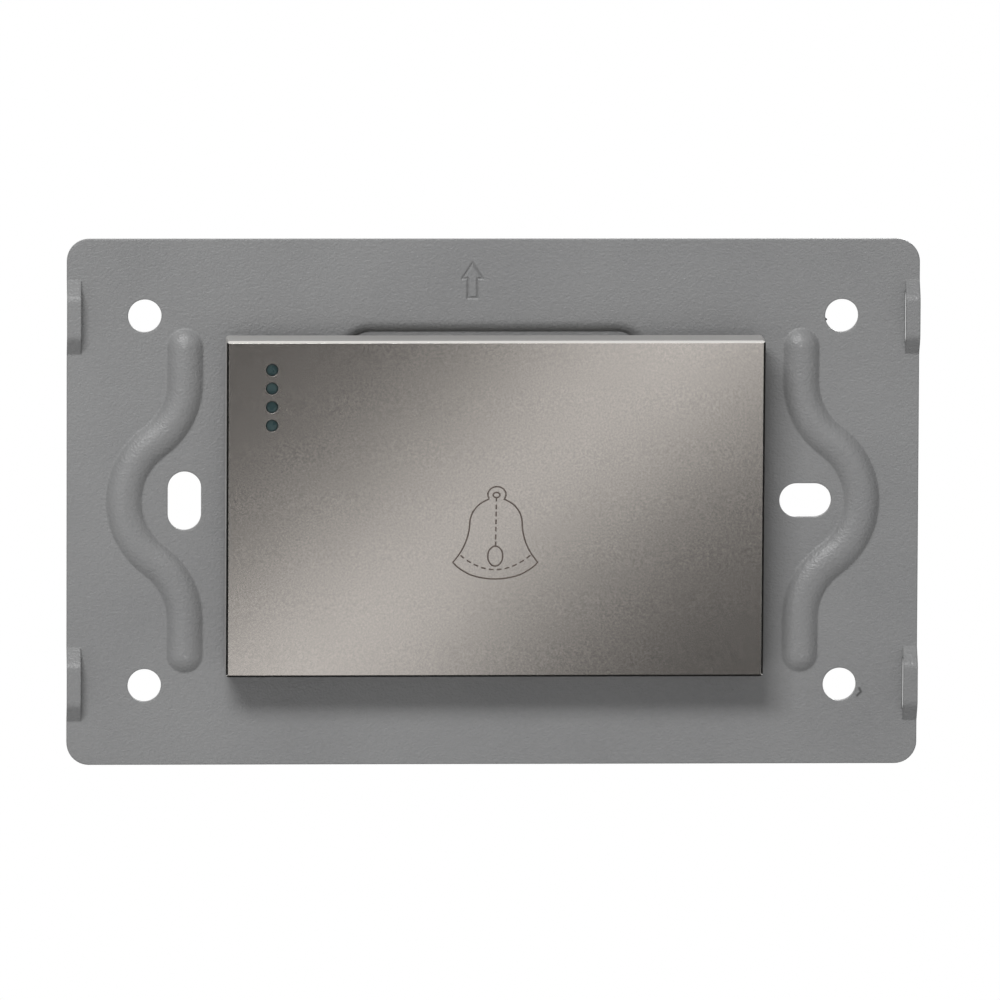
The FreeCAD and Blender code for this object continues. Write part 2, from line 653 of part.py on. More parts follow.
def rocker_cap():
    body = rocker_body("rocker_cap")
    outline = sketch_on(body, "XZ_Plane", "CapOutline", "-CapFront + CapDepth")
    draw_centred_box(outline, "CapWidth / 2", CAP_HALF_HEIGHT, "1.5 * CapBevel")
    shell = pad(body, outline, "CapDepth")
    doc.recompute()
    front = worked("-CapFront")
    bevel = body.newObject("PartDesign::Chamfer", "CapFrontBevel")
    bevel.Base = (shell, edges_where(shell, lambda edge, middle: abs(middle.y - front) < SAME_PLACE))
    bind(bevel, "Size", "CapBevel")
    hollow = sketch_on(body, "XZ_Plane", "CapHollow", CAP_INNER)
    draw_centred_box(hollow, "(CapWidth / 2 - CapWall)", "(%s - CapWall)" % CAP_HALF_HEIGHT)
    cut(body, hollow)
    windows = sketch_on(body, "XZ_Plane", "CapWindows", "-CapFront")
    for number in range(WINDOW_COUNT):
        draw_circle(windows, window_place(number), "WindowHole / 2")
    cut(body, windows)
    # hooks that spring through the carrier and catch behind it
    catch = "(%s + SeatGap)" % CARRIER_REAR
    for side in (-1, 1):
        near_side = "%d * %s - SnapWidth / 2" % (side, SNAP_ACROSS)
        for end in (-1, 1):
            tag = ("Left" if side < 0 else "Right") + ("Low" if end < 0 else "High")
            hook = sketch_on(body, "YZ_Plane", "Snap" + tag, near_side)
            inner, outer, barb = (
                "%d * (%s)" % (end, f)
                for f in ("SnapUp - SnapThickness / 2", "SnapUp + SnapThickness / 2",
                          "SnapUp + SnapThickness / 2 + SnapHook")
            )
            draw_outline(hook, [
                (CAP_INNER, inner), (catch + " + 2 * SnapHook", inner), (catch + " + SnapHook / 3", barb),
                (catch, barb), (catch, outer), (CAP_INNER, outer),
            ])
            pad(body, hook, "SnapWidth")
    return body


def light_guide():
    body = rocker_body("light_guide")
    bar = sketch_on(body, "XZ_Plane", "GuideBar", "%s + GuideThickness" % CAP_INNER)
    draw_rounded_box(
        bar, WINDOW_ACROSS + " - GuideWidth / 2", WINDOW_ACROSS + " + GuideWidth / 2",
        GUIDE_LOW, CAP_HALF_HEIGHT + " - WindowTop + GuideMargin", "GuideWidth / 6",
    )
    pad(body, bar, "GuideThickness")
    pips = sketch_on(body, "XZ_Plane", "GuidePips", CAP_INNER)
    for number in range(WINDOW_COUNT):
        draw_circle(pips, window_place(number), "WindowHole / 2 - RunningGap")
    pad(body, pips, "CapFace - SeatGap")
    return body


def rocker_carrier():
    body = rocker_body("rocker_carrier")
    reach_across = "(CapWidth / 2 - CapWall - FitGap)"
    reach_up = "(%s - CapWall - FitGap)" % CAP_HALF_HEIGHT
    notch_across = "%s + GuideWidth / 2 + FitGap" % WINDOW_ACROSS
    notch_up = GUIDE_LOW + " - FitGap"
    outline = sketch_on(body, "XZ_Plane", "CarrierOutline", CARRIER_REAR)
    # one corner is left out for the light guide behind the cap's windows
    draw_outline(outline, [
        ("-" + reach_across, "-" + reach_up), (reach_across, "-" + reach_up), (reach_across, reach_up),
        (notch_across, reach_up), (notch_across, notch_up), ("-" + reach_across, notch_up),
    ])
    pad(body, outline, "CarrierPlate")

    ribs = sketch_on(body, "XZ_Plane", "CarrierRibs", CARRIER_REAR)
    for sign in ("-", ""):
        middle = "%s(%s - SpringRadius - 2 * CarrierRibWidth)" % (sign, SPRING_UP)
        draw_box(
            ribs, "-(%s) + CheekThickness" % CHEEK_OUTER, "%s - CheekThickness" % CHEEK_OUTER,
            middle + " - CarrierRibWidth / 2", middle + " + CarrierRibWidth / 2",
        )
    pad(body, ribs, "CarrierRib", True)
    spine = sketch_on(body, "XZ_Plane", "CarrierSpine", CARRIER_REAR)
    draw_box(
        spine, "-(%s) + CheekThickness / 2" % CHEEK_OUTER, "%s - CheekThickness / 2" % CHEEK_OUTER,
        "-CarrierRibWidth / 2", "CarrierRibWidth / 2",
    )
    pad(body, spine, "2 * CarrierRib", True)

    # cheeks with a round end on the pivot, and the trunnions outside them
    for side in (-1, 1):
        tag = "Left" if side < 0 else "Right"
        cheek = sketch_on(body, "YZ_Plane", "Cheek" + tag, "%d * (%s)" % (side, CHEEK_OUTER))
        draw_box(cheek, CARRIER_REAR, "0", "-CheekRadius", "CheekRadius")
        pad(body, cheek, "CheekThickness", side > 0)
        round_end = sketch_on(body, "YZ_Plane", "CheekEnd" + tag, "%d * (%s)" % (side, CHEEK_OUTER))
        draw_circle(round_end, ("0", "0"), "CheekRadius")
        pad(body, round_end, "CheekThickness", side > 0)
        trunnion = sketch_on(body, "YZ_Plane", "Trunnion" + tag, "%d * (%s)" % (side, CHEEK_OUTER))
        draw_circle(trunnion, ("0", "0"), "TrunnionRadius")
        pad(body, trunnion, "SkirtWall + CheekGap - SeatGap", side < 0)

    boss = sketch_on(body, "XZ_Plane", "PlungerBoss", CARRIER_REAR)
    draw_circle(boss, ("0", "0"), "PlungerRadius + RunningGap + BossWall")
    pad(body, boss, "BossReach - (%s)" % CARRIER_REAR, True)
    bore = sketch_on(body, "XZ_Plane", "PlungerBore", "BossReach")
    draw_circle(bore, ("0", "0"), "PlungerRadius + RunningGap")
    cut(body, bore, "BossReach - %s" % BOSS_BOTTOM, True)

    slots = sketch_on(body, "XZ_Plane", "SnapSlots", "-CapFront")
    for side in (-1, 1):
        for end in (-1, 1):
            middle = "%d * %s" % (side, SNAP_ACROSS)
            draw_box(
                slots, middle + " - SnapWidth / 2 - FitGap", middle + " + SnapWidth / 2 + FitGap",
                "%d * (SnapUp - SnapThickness / 2 - FitGap)" % end,
                "%d * (SnapUp + SnapThickness / 2 + SnapHook + FitGap)" % end,
            )
    cut(body, slots, "CapFront + (%s)" % CARRIER_REAR)

    # lugs that stop the rocker on the front frame: lower pair at rest, upper pair when pressed
    for end, angle in ((-1, "RestTilt"), (1, "(PressAngle - RestTilt)")):
        stops = sketch_on(body, "XZ_Plane", "Stops%s" % ("Low" if end < 0 else "High"), CARRIER_REAR)
        level = "%d * %s" % (end, STOP_UP)
        for side in (-1, 1):
            middle = "%d * StopAcross" % side
            draw_box(
                stops, middle + " - StopWidth / 2", middle + " + StopWidth / 2",
                level + " - StopThickness / 2", level + " + StopThickness / 2",
            )
        swung = "(%s + StopThickness / 2) * sin(%s)" % (STOP_UP, angle)
        pad(body, stops, "%s - SeatGap - %s - %s" % (FLANGE_STOP, swung, CARRIER_REAR), True)
    pegs = sketch_on(body, "XZ_Plane", "SpringPegs", CARRIER_REAR)
    for sign in ("-", ""):
        draw_circle(pegs, (sign + "SpringAcross", SPRING_UP), "PegRadius")
    pad(body, pegs, "PegHeight", True)
    return body


def plunger():
    body = rocker_body("plunger")
    half = sketch_on(body, "XY_Plane", "PlungerHalf")
    tip = PLUNGER_TIP
    draw_outline(half, [
        ("0", "%s - PlungerNose - PlungerBody" % tip),
        ("PlungerRadius", "%s - PlungerNose - PlungerBody" % tip),
        ("PlungerRadius", "%s - PlungerNose" % tip),
        ("PlungerRadius * 0.8", "%s - PlungerNose / 2" % tip),
        ("PlungerRadius * 0.4", "%s - PlungerNose / 8" % tip),
        ("0", tip),
    ])
    spin(body, half)
    return body


def front_frame():
    body = new_body("front_frame")
    flange = sketch_on(body, "XZ_Plane", "FrameFlange", FLANGE_FRONT)
    draw_centred_box(flange, FLANGE_HALF_WIDTH, FLANGE_HALF_HEIGHT, "FrameCorner")
    pad(body, flange, "FlangeThickness", True)
    # tabs that reach down into the tray and take the screws
    tabs = sketch_on(body, "XZ_Plane", "FrameTabs", FLANGE_FRONT)
    for sign in ("-", ""):
        root, end = sign + "(HousingHeight / 2 + FitGap)", sign + "(HousingHeight / 2 + TabLap)"
        draw_box(tabs, "-TabWidth / 2", "TabWidth / 2", root, end)
    pad(body, tabs, "FlangeThickness + TrayDepth", True)
    skirt = sketch_on(body, "XZ_Plane", "FrameSkirt", PLATE_FRONT)
    draw_centred_box(skirt, SKIRT_HALF_WIDTH, SKIRT_HALF_HEIGHT, "FrameCorner")
    pad(body, skirt, "SkirtDepth", True)
    window = sketch_on(body, "XZ_Plane", "FrameWindow", "%s - TrayDepth" % FLANGE_FRONT)
    draw_centred_box(window, "(%s - SkirtWall)" % SKIRT_HALF_WIDTH, "(%s - SkirtWall)" % SKIRT_HALF_HEIGHT)
    cut(body, window)

    # crossbar behind the rocker with a cup for each return spring
    bar = sketch_on(body, "XZ_Plane", "SpringBar", "BarFront")
    in_skirt = "%s - SkirtWall / 2" % SKIRT_HALF_HEIGHT
    draw_box(bar, "-" + BAR_HALF_WIDTH, BAR_HALF_WIDTH, SPRING_UP + " - BarHeight / 2", in_skirt)
    pad(body, bar, "BarThickness", True)
    bar_post = sketch_on(body, "XZ_Plane", "BarPosts", PLATE_FRONT)
    for sign in (-1, 1):
        middle = "%d * %s" % (sign, BAR_HALF_WIDTH)
        draw_box(bar_post, middle + " - SkirtWall / 2", middle + " + SkirtWall / 2", SPRING_UP, in_skirt)
    pad(body, bar_post, "BarFront + BarThickness - %s" % PLATE_FRONT, True)
    cups = sketch_on(body, "XZ_Plane", "SpringCups", "BarFront")
    for sign in ("-", ""):
        draw_circle(cups, (sign + "SpringAcross", SPRING_UP), "SpringRadius + SpringWire / 2 + FitGap")
    cut(body, cups, "CupDepth")

    bearings = sketch_on(body, "YZ_Plane", "Bearings", "-" + FLANGE_HALF_WIDTH)
    draw_circle(bearings, ("PivotDepth", "0"), "TrunnionRadius + RunningGap")
    cut(body, bearings, None, True)
    holes = sketch_on(body, "XZ_Plane", "TabHoles", FLANGE_FRONT)
    heads = sketch_on(body, "XZ_Plane", "TabCounterbores", FLANGE_FRONT)
    for across in ("-", ""):
        for up in ("-", ""):
            draw_circle(holes, (across + "ScrewAcross", up + SCREW_UP), "ScrewRadius + FitGap / 2")
            draw_circle(heads, (across + "ScrewAcross", up + SCREW_UP), "ScrewHead + FitGap / 2")
    cut(body, holes)
    cut(body, heads, "ScrewHeadHeight + SeatGap")
    return body


def base_housing():
    body = new_body("base_housing")
    outline = sketch_on(body, "XZ_Plane", "HousingOutline", PLATE_FRONT)
    draw_centred_box(outline, "HousingWidth / 2", "HousingHeight / 2", "HousingCorner")
    block = pad(body, outline, "HousingDepth + PlateThickness", True)
    doc.recompute()
    back = worked("HousingDepth")
    rim = body.newObject("PartDesign::Fillet", "HousingBackEdge")
    rim.Base = (block, edges_where(block, lambda edge, middle: abs(middle.y - back) < SAME_PLACE))
    bind(rim, "Radius", "HousingRound")
    inside = sketch_on(body, "XZ_Plane", "HousingInside", PLATE_FRONT)
    draw_centred_box(inside, "(HousingWidth / 2 - HousingWall)", "(HousingHeight / 2 - HousingWall)")
    cut(body, inside, "PlateThickness + " + HOUSING_INNER_BACK)

    # cells that hold the two wire clamps, open to the front
    for side in (-1, 1):
        tag = "Left" if side < 0 else "Right"
        cell = sketch_on(body, "XZ_Plane", "ClampCell" + tag, HOUSING_INNER_BACK)
        near = "%d * (ClampAcross - ClampWidth / 2 - FitGap)" % side
        far = "%d * (ClampAcross - ClampWidth / 2 - FitGap - CellWall)" % side
        wall = "%d * (HousingWidth / 2 - HousingWall / 2)" % side
        foot = "-HousingHeight / 2 + HousingWall / 2"
        roof = "%s + ClampLength + FitGap" % CLAMP_LOW
        draw_outline(cell, [
            (far, foot), (near, foot), (near, roof), (wall, roof),
            (wall, roof + " + CellWall"), (far, roof + " + CellWall"),
        ])
        pad(body, cell, "%s - %s - FitGap" % (HOUSING_INNER_BACK, STRIP_REAR))

    # pillars under the blade's fulcrum and under the fixed contact
    pillars = sketch_on(body, "XZ_Plane", "Pillars", HOUSING_INNER_BACK)
    draw_box(pillars, "-" + CRADLE_REACH, CRADLE_REACH, "-StripWidth / 3", "StripWidth / 3")
    draw_box(
        pillars, "-" + CONTACT_PILLAR, CONTACT_PILLAR,
        "-ContactDrop - StripWidth / 2", "-ContactDrop + StripWidth / 2",
    )
    pad(body, pillars, "%s - %s" % (HOUSING_INNER_BACK, STRIP_REAR))
    tail = sketch_on(body, "XZ_Plane", "RivetTailPocket", STRIP_REAR)
    draw_circle(tail, ("0", "-ContactDrop"), "RivetTail + FitGap")
    cut(body, tail, "ContactHead + FitGap")

    # ears behind the tray's floor, tied by a web, with pilot holes for the frame screws
    ears = sketch_on(body, "XZ_Plane", "Ears", TRAY_REAR)
    ear_length = "(ScrewLap + EarRadius + HousingWall)"
    for across in ("-", ""):
        for up in ("-", ""):
            middle = "%s(%s + EarRadius - %s / 2)" % (up, SCREW_UP, ear_length)
            draw_slot(ears, (across + "ScrewAcross", middle), ear_length, "(2 * EarRadius)", True)
    pad(body, ears, "EarDepth", True)
    webs = sketch_on(body, "XZ_Plane", "EarWebs", TRAY_REAR)
    for sign in ("-", ""):
        root = sign + "(HousingHeight / 2 - HousingWall / 2)"
        draw_box(webs, "-ScrewAcross", "ScrewAcross", root, sign + SCREW_UP)
    pad(body, webs, "WebThickness", True)
    pilots = sketch_on(body, "XZ_Plane", "PilotHoles", PLATE_FRONT)
    for across in ("-", ""):
        for up in ("-", ""):
            draw_circle(pilots, (across + "ScrewAcross", up + SCREW_UP), "ScrewRadius + RunningGap")
    cut(body, pilots)

    access = sketch_on(body, "XZ_Plane", "ScrewAccess", HOUSING_INNER_BACK)
    for sign in ("-", ""):
        draw_circle(access, (sign + "ClampAcross", CLAMP_SCREW_UP), "AccessHole")
    cut(body, access)
    entries = sketch_on(body, "XY_Plane", "WireEntries", "-HousingHeight / 2 - HousingWall")
    for sign in ("-", ""):
        draw_circle(entries, (sign + "ClampAcross", TUNNEL_DEPTH), "WireEntry")
    cut(body, entries, "2 * HousingWall", True)
    panel = sketch_on(body, "XZ_Plane", "BackPanel", "HousingDepth - PanelDepth")
    draw_rounded_box(
        panel, "-PanelWidth / 2", "PanelWidth / 2", "PanelLow", "PanelLow + PanelHeight", "FrameCorner"
    )
    cut(body, panel)
    return body


def frame_screw(tag, across, up):
    """A self-tapping pan-head screw; its frame is at the head's seat, on its axis."""
    body = new_body("frame_screw_" + tag, (across, "%s + ScrewHeadHeight + SeatGap" % FLANGE_FRONT, up))
    half = sketch_on(body, "XY_Plane", "ScrewHalf")
    draw_outline(half, [
        ("0", "-ScrewHeadHeight"), ("ScrewHead * 0.6", "-ScrewHeadHeight"),
        ("ScrewHead", "-ScrewHeadHeight / 2"), ("ScrewHead", "0"), ("ScrewRadius", "0"),
        ("ScrewRadius", "ScrewLength - 2 * ScrewRadius"), ("ScrewRadius / 4", "ScrewLength"),
        ("0", "ScrewLength"),
    ])
    spin(body, half)
    cross = sketch_on(body, "XZ_Plane", "CrossRecess", "-ScrewHeadHeight")
    reach, wide = "ScrewHead * 0.6", "ScrewSlot / 2"
    draw_outline(cross, [
        ("-" + wide, "-" + reach), (wide, "-" + reach), (wide, "-" + wide), (reach, "-" + wide),
        (reach, wide), (wide, wide), (wide, reach), ("-" + wide, reach),
        ("-" + wide, wide), ("-" + reach, wide), ("-" + reach, "-" + wide), ("-" + wide, "-" + wide),
    ])
    cut(body, cross, "ScrewHeadHeight / 2")
    return body


def line_terminal():
    """The strip from the left clamp to the fulcrum, with an arm up to the indicator's lead."""
    body = new_body("line_terminal")
    strip = sketch_on(body, "XZ_Plane", "LineStrip", "StripFront")
    outer, inner, arm = "-" + STRIP_OUTER, "-" + STRIP_INNER, "-%s + StripWidth" % STRIP_OUTER
    top = "LineLeadUp + LeadPad"
    draw_outline(strip, [
        (outer, STRIP_LOW), (inner, STRIP_LOW), (inner, "-StripWidth / 2"),
        (CRADLE_REACH, "-StripWidth / 2"), (CRADLE_REACH, "StripWidth / 2"),
        (arm, "StripWidth / 2"), (arm, top), (outer, top),
    ])
    pad(body, strip, "StripThickness", True)
    edge = sketch_on(body, "YZ_Plane", "KnifeEdge", "-CradleWidth / 2")
    rise = "(StripFront - BladePivot - EdgeGap)"
    draw_outline(edge, [("StripFront", "-" + rise), ("BladePivot + EdgeGap", "0"), ("StripFront", rise)])
    pad(body, edge, "CradleWidth")
    # ears that keep the blade in place sideways
    for side in (-1, 1):
        tag = "Left" if side < 0 else "Right"
        ear = sketch_on(body, "YZ_Plane", "CradleEar" + tag, "%d * %s" % (side, EAR_INNER))
        reach = "BladePivot - BladeThickness - EdgeGap - FitGap"
        draw_outline(ear, [
            ("StripFront", "-StripWidth / 3"), (reach, "-StripWidth / 5"), (reach, "StripWidth / 5"),
            ("StripFront", "StripWidth / 3"),
        ])
        pad(body, ear, "CradleEar", side < 0)
    return body


def bell_terminal():
    """The strip from the right clamp to the fixed contact, with an arm up to the indicator's lead."""
    body = new_body("bell_terminal")
    strip = sketch_on(body, "XZ_Plane", "BellStrip", "StripFront")
    low, high = "-ContactDrop - StripWidth / 2", "-ContactDrop + StripWidth / 2"
    end, arm = "-" + CONTACT_PILLAR, "%s - StripWidth" % STRIP_OUTER
    top = BELL_LEAD_UP + " + LeadPad"
    draw_outline(strip, [
        (end, low), (STRIP_INNER, low), (STRIP_INNER, STRIP_LOW), (STRIP_OUTER, STRIP_LOW),
        (STRIP_OUTER, top), (arm, top), (arm, high), (end, high),
    ])
    pad(body, strip, "StripThickness", True)
    hole = sketch_on(body, "XZ_Plane", "RivetHole", "StripFront")
    draw_circle(hole, ("0", "-ContactDrop"), "RivetShank")
    cut(body, hole)
    return body


def contact_rivet(body, face, head_end, strip_end):
    """A silver rivet turned about Y: a contact head, a shank through the strip and a closed tail."""
    half = sketch_on(body, "XY_Plane", "RivetHalf", "-ContactDrop")
    head = "(%s - %s)" % (head_end, face)
    tail_end = "%s + %s * 0.75" % (strip_end, head)
    draw_outline(half, [
        ("0", face), ("ContactRadius * 0.8", face), ("ContactRadius", "%s + %s / 3" % (face, head)),
        ("ContactRadius", head_end), ("RivetShank", head_end), ("RivetShank", strip_end),
        ("RivetTail", strip_end), ("RivetTail * 0.7", tail_end), ("0", tail_end),
    ])
    spin(body, half)
    return body


def blade_body(name):
    """A body in the blade's own frame: origin on the knife edge, tilted to its rest."""
    return new_body(name, ("0", "BladePivot", "0"), "-BladeTilt")


def contact_blade():
    body = blade_body("contact_blade")
    outline = sketch_on(body, "XZ_Plane", "BladeOutline", "-EdgeGap")
    draw_centred_box(outline, "BladeWidth / 2", "BladeLength / 2", "BladeWidth / 5")
    pad(body, outline, "BladeThickness")
    hole = sketch_on(body, "XZ_Plane", "BladeRivetHole", "-EdgeGap - BladeThickness")
    draw_circle(hole, ("0", "-ContactDrop"), "RivetShank")
    cut(body, hole)
    return body


def wire_clamp(name, side):
    """A brass block with a tunnel for the wire and a tapped hole for the screw that closes on it."""
    body = new_body(name)
    middle = "%d * ClampAcross" % side
    block = sketch_on(body, "XZ_Plane", "ClampBlock", STRIP_REAR)
    top = CLAMP_LOW + " + ClampLength"
    draw_box(block, middle + " - ClampWidth / 2", middle + " + ClampWidth / 2", CLAMP_LOW, top)
    pad(body, block, "ClampDepth", True)
    tunnel = sketch_on(body, "XY_Plane", "WireTunnel", "%s - ClampLength" % CLAMP_LOW)
    draw_circle(tunnel, (middle, TUNNEL_DEPTH), "TunnelRadius")
    cut(body, tunnel, None, True)
    tapped = sketch_on(body, "XZ_Plane", "TappedHole", TUNNEL_DEPTH)
    draw_circle(tapped, (middle, CLAMP_SCREW_UP), "ClampScrewRadius + RunningGap")
    cut(body, tapped)
    return body


def clamp_screw(name, side):
    """A headless screw, backed out of the tunnel; its frame is at its tip, on its axis."""
    tip = TUNNEL_DEPTH + " + TunnelRadius + RunningGap"
    body = new_body(name, ("%d * ClampAcross" % side, tip, CLAMP_SCREW_UP))
    half = sketch_on(body, "XY_Plane", "ClampScrewHalf")
    draw_outline(half, [
        ("0", "0"), ("ClampScrewRadius * 0.7", "0"), ("ClampScrewRadius", "ClampScrewRadius * 0.3"),
        ("ClampScrewRadius", "ClampScrewLength"), ("0", "ClampScrewLength"),
    ])
    spin(body, half)
    slot = sketch_on(body, "XZ_Plane", "ClampScrewSlot", "ClampScrewLength - ScrewSlot * 1.5")
    draw_box(slot, "-ClampScrewRadius * 1.2", "ClampScrewRadius * 1.2", "-ScrewSlot / 2", "ScrewSlot / 2")
    cut(body, slot)
    return body


def coil(body, radius, wire, turns, start, height):
    """A compression spring wound about the body's Y axis, its round wire given as a six-sided one."""
    section = sketch_on(body, "XY_Plane", "WireSection")
    corners = []
    for number in range(WIRE_SIDES):
        angle = (number + 0.5) * 360 / WIRE_SIDES
        across = "%s + %s / 2 * cos(%g)" % (radius, wire, angle)
        corners.append((across, "%s + %s / 2 * sin(%g)" % (start, wire, angle)))
    draw_outline(section, corners)
    spring = body.newObject("PartDesign::AdditiveHelix", "Coil")
    spring.Profile = section
    spring.ReferenceAxis = (section, ["V_Axis"])
    spring.Mode = 2
    spring.Turns = turns
    spring.Angle = 0
    spring.Growth = 0
    bind(spring, "Height", height)
    return body


def return_spring(name, side):
    """Stands in its cup on the crossbar and bears on the back of the tilted carrier."""
    front = "(PivotDepth + %s * cos(RestTilt) - %s * sin(RestTilt) + FitGap)" % (CARRIER_REAR, SPRING_UP)
    rear = "(BarFront + CupDepth - SeatGap)"
    body = new_body(name, ("%d * SpringAcross" % side, "0", SPRING_UP))
    return coil(
        body, "SpringRadius", "SpringWire", SPRING_TURNS, "%s + SpringWire / 2" % front,
        "%s - %s - SpringWire" % (rear, front),
    )


def plunger_spring():
    rear = "(%s - PlungerNose - PlungerBody - SeatGap)" % PLUNGER_TIP
    front = "(%s + SeatGap)" % BOSS_BOTTOM
    return coil(
        rocker_body("plunger_spring"), "InnerSpringRadius", "InnerSpringWire", INNER_SPRING_TURNS,
        "%s + InnerSpringWire / 2" % front, "%s - %s - InnerSpringWire" % (rear, front),
    )


def indicator_board():
    body = new_body("indicator_board")
    outline = sketch_on(body, "XZ_Plane", "BoardOutline", FLANGE_FRONT)
    draw_box(outline, "-" + BOARD_OUTER, "-" + BOARD_INNER, BOARD_LOW, BOARD_LOW + " + BoardHeight")
    pad(body, outline, "BoardThickness")
    return body


def indicator_lamp():
    """A small surface lamp with a lens, behind the light guide."""
    body = new_body("indicator_lamp", (WINDOW_ACROSS, BOARD_FRONT, BOARD_LOW + " + BoardHeight - LampLength"))
    base = sketch_on(body, "XZ_Plane", "LampBase")
    draw_box(base, "-LampWidth / 2", "LampWidth / 2", "-LampLength / 2", "LampLength / 2")
    pad(body, base, "LampHeight")
    lens = sketch_on(body, "XY_Plane", "LampLens")
    draw_outline(lens, [
        ("0", "-LampHeight / 2"), ("LampWidth * 0.4", "-LampHeight / 2"),
        ("LampWidth * 0.4", "-LampHeight"),
        ("LampWidth * 0.3", "-LampHeight * 1.4"), ("0", "-LampHeight * 1.6"),
    ])
    spin(body, lens)
    return body


def indicator_resistor():
    """An axial resistor lying up the board, with a flare at each end."""
    lower_end = BOARD_LOW + " + CellWall"
    place = (WINDOW_ACROSS + " - ResistorRadius", BOARD_FRONT + " - ResistorRadius", lower_end)
    body = new_body("indicator_resistor", place)
    half = sketch_on(body, "XZ_Plane", "ResistorHalf")
    waist = "ResistorRadius * 0.85"
    draw_outline(half, [
        ("0", "0"), ("ResistorRadius", "0"), ("ResistorRadius", "ResistorLength / 4"),
        (waist, "ResistorLength / 3"), (waist, "ResistorLength * 2 / 3"),
        ("ResistorRadius", "ResistorLength * 3 / 4"), ("ResistorRadius", "ResistorLength"),
        ("0", "ResistorLength"),
    ])
    spin(body, half)
    return body


def indicator_lead_line():
    """The straight insulated lead from the board back to the line terminal's arm."""
    body = new_body("indicator_lead_line")
    end = sketch_on(body, "XZ_Plane", "LineLeadEnd", FLANGE_FRONT)
    draw_circle(end, ("-" + LEAD_ACROSS, "LineLeadUp"), "LeadRadius")
    pad(body, end, "StripFront - %s" % FLANGE_FRONT, True)
    return body


def indicator_lead_bell():
    """The lead that crosses behind the frame to the bell terminal's arm, with two round bends."""
    body = new_body("indicator_lead_bell")
    path = sketch_on(body, "XY_Plane", "BellLeadPath", BELL_LEAD_UP)
    arm = "%s - StripWidth / 2" % STRIP_OUTER
    left, right = worked("-" + LEAD_ACROSS), worked(arm)
    start, run, end, bend = (worked(f) for f in (FLANGE_FRONT, "LeadRun", "StripFront", "LeadBend"))
    leave = add_line(path, (left, start), (left, run - bend))
    first_bend = add_arc(path, (left + bend, run - bend), bend, math.pi / 2, math.pi)
    across = add_line(path, (left + bend, run), (right - bend, run))
    second_bend = add_arc(path, (right - bend, run + bend), bend, 1.5 * math.pi, 2 * math.pi)
    arrive = add_line(path, (right, run + bend), (right, end))
    path.addConstraint(Sketcher.Constraint("Tangent", leave, 2, first_bend, 2))
    path.addConstraint(Sketcher.Constraint("Tangent", first_bend, 1, across, 1))
    path.addConstraint(Sketcher.Constraint("Tangent", across, 2, second_bend, 1))
    path.addConstraint(Sketcher.Constraint("Tangent", second_bend, 2, arrive, 1))
    path.addConstraint(Sketcher.Constraint("Vertical", leave))
    path.addConstraint(Sketcher.Constraint("Horizontal", across))
    path.addConstraint(Sketcher.Constraint("Vertical", arrive))
    dimension(path, "Radius", (first_bend,), "LeadBend")
    path.addConstraint(Sketcher.Constraint("Equal", first_bend, second_bend))
    hold_point(path, leave, 1, ("-" + LEAD_ACROSS, FLANGE_FRONT))
    dimension(path, "DistanceY", (-1, 1, across, 1), "LeadRun")
    hold_point(path, arrive, 2, (arm, "StripFront"))
    section = sketch_on(body, "XZ_Plane", "BellLeadSection", FLANGE_FRONT)
    draw_circle(section, ("-" + LEAD_ACROSS, BELL_LEAD_UP), "LeadRadius")
    lead = body.newObject("PartDesign::AdditivePipe", "BellLead")
    lead.Profile = section
    lead.Spine = path
    return body


mounting_plate()
rocker_cap()
light_guide()
rocker_carrier()
plunger()
plunger_spring()
front_frame()
base_housing()
for side, across in (("left", "-ScrewAcross"), ("right", "ScrewAcross")):
    for end, up in (("upper", SCREW_UP), ("lower", "-" + SCREW_UP)):
        frame_screw(end + "_" + side, across, up)
line_terminal()
bell_terminal()
contact_rivet(new_body("fixed_contact"), CONTACT_FACE, "StripFront", STRIP_REAR)
contact_blade()
contact_rivet(
    blade_body("moving_contact"), "(-EdgeGap + ContactHead)", "-EdgeGap", "(-EdgeGap - BladeThickness)"
)
for name, side in (("line", -1), ("bell", 1)):
    wire_clamp(name + "_clamp", side)
    clamp_screw(name + "_clamp_screw", side)
return_spring("return_spring_left", -1)
return_spring("return_spring_right", 1)
indicator_board()
indicator_lamp()
indicator_resistor()
indicator_lead_line()
indicator_lead_bell()
doc.recompute()

bodies = doc.findObjects("PartDesign::Body")
failed = [thing.Name for thing in doc.Objects if "Invalid" in thing.State or "Error" in thing.State]
for body in bodies:
    if body.Shape.isNull() or not body.Shape.isValid() or len(body.Shape.Solids) != 1:
        failed.append(body.Label)
if failed:
    raise RuntimeError("these did not come out: " + ", ".join(failed))
for body in bodies:
    body.Shape.exportStep("parts/%s.step" % body.Label)
    print("%-24s %9.2f mm3" % (body.Label, body.Shape.Volume))
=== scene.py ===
import math
import bmesh
import bpy
from mathutils import Matrix, Quaternion, Vector


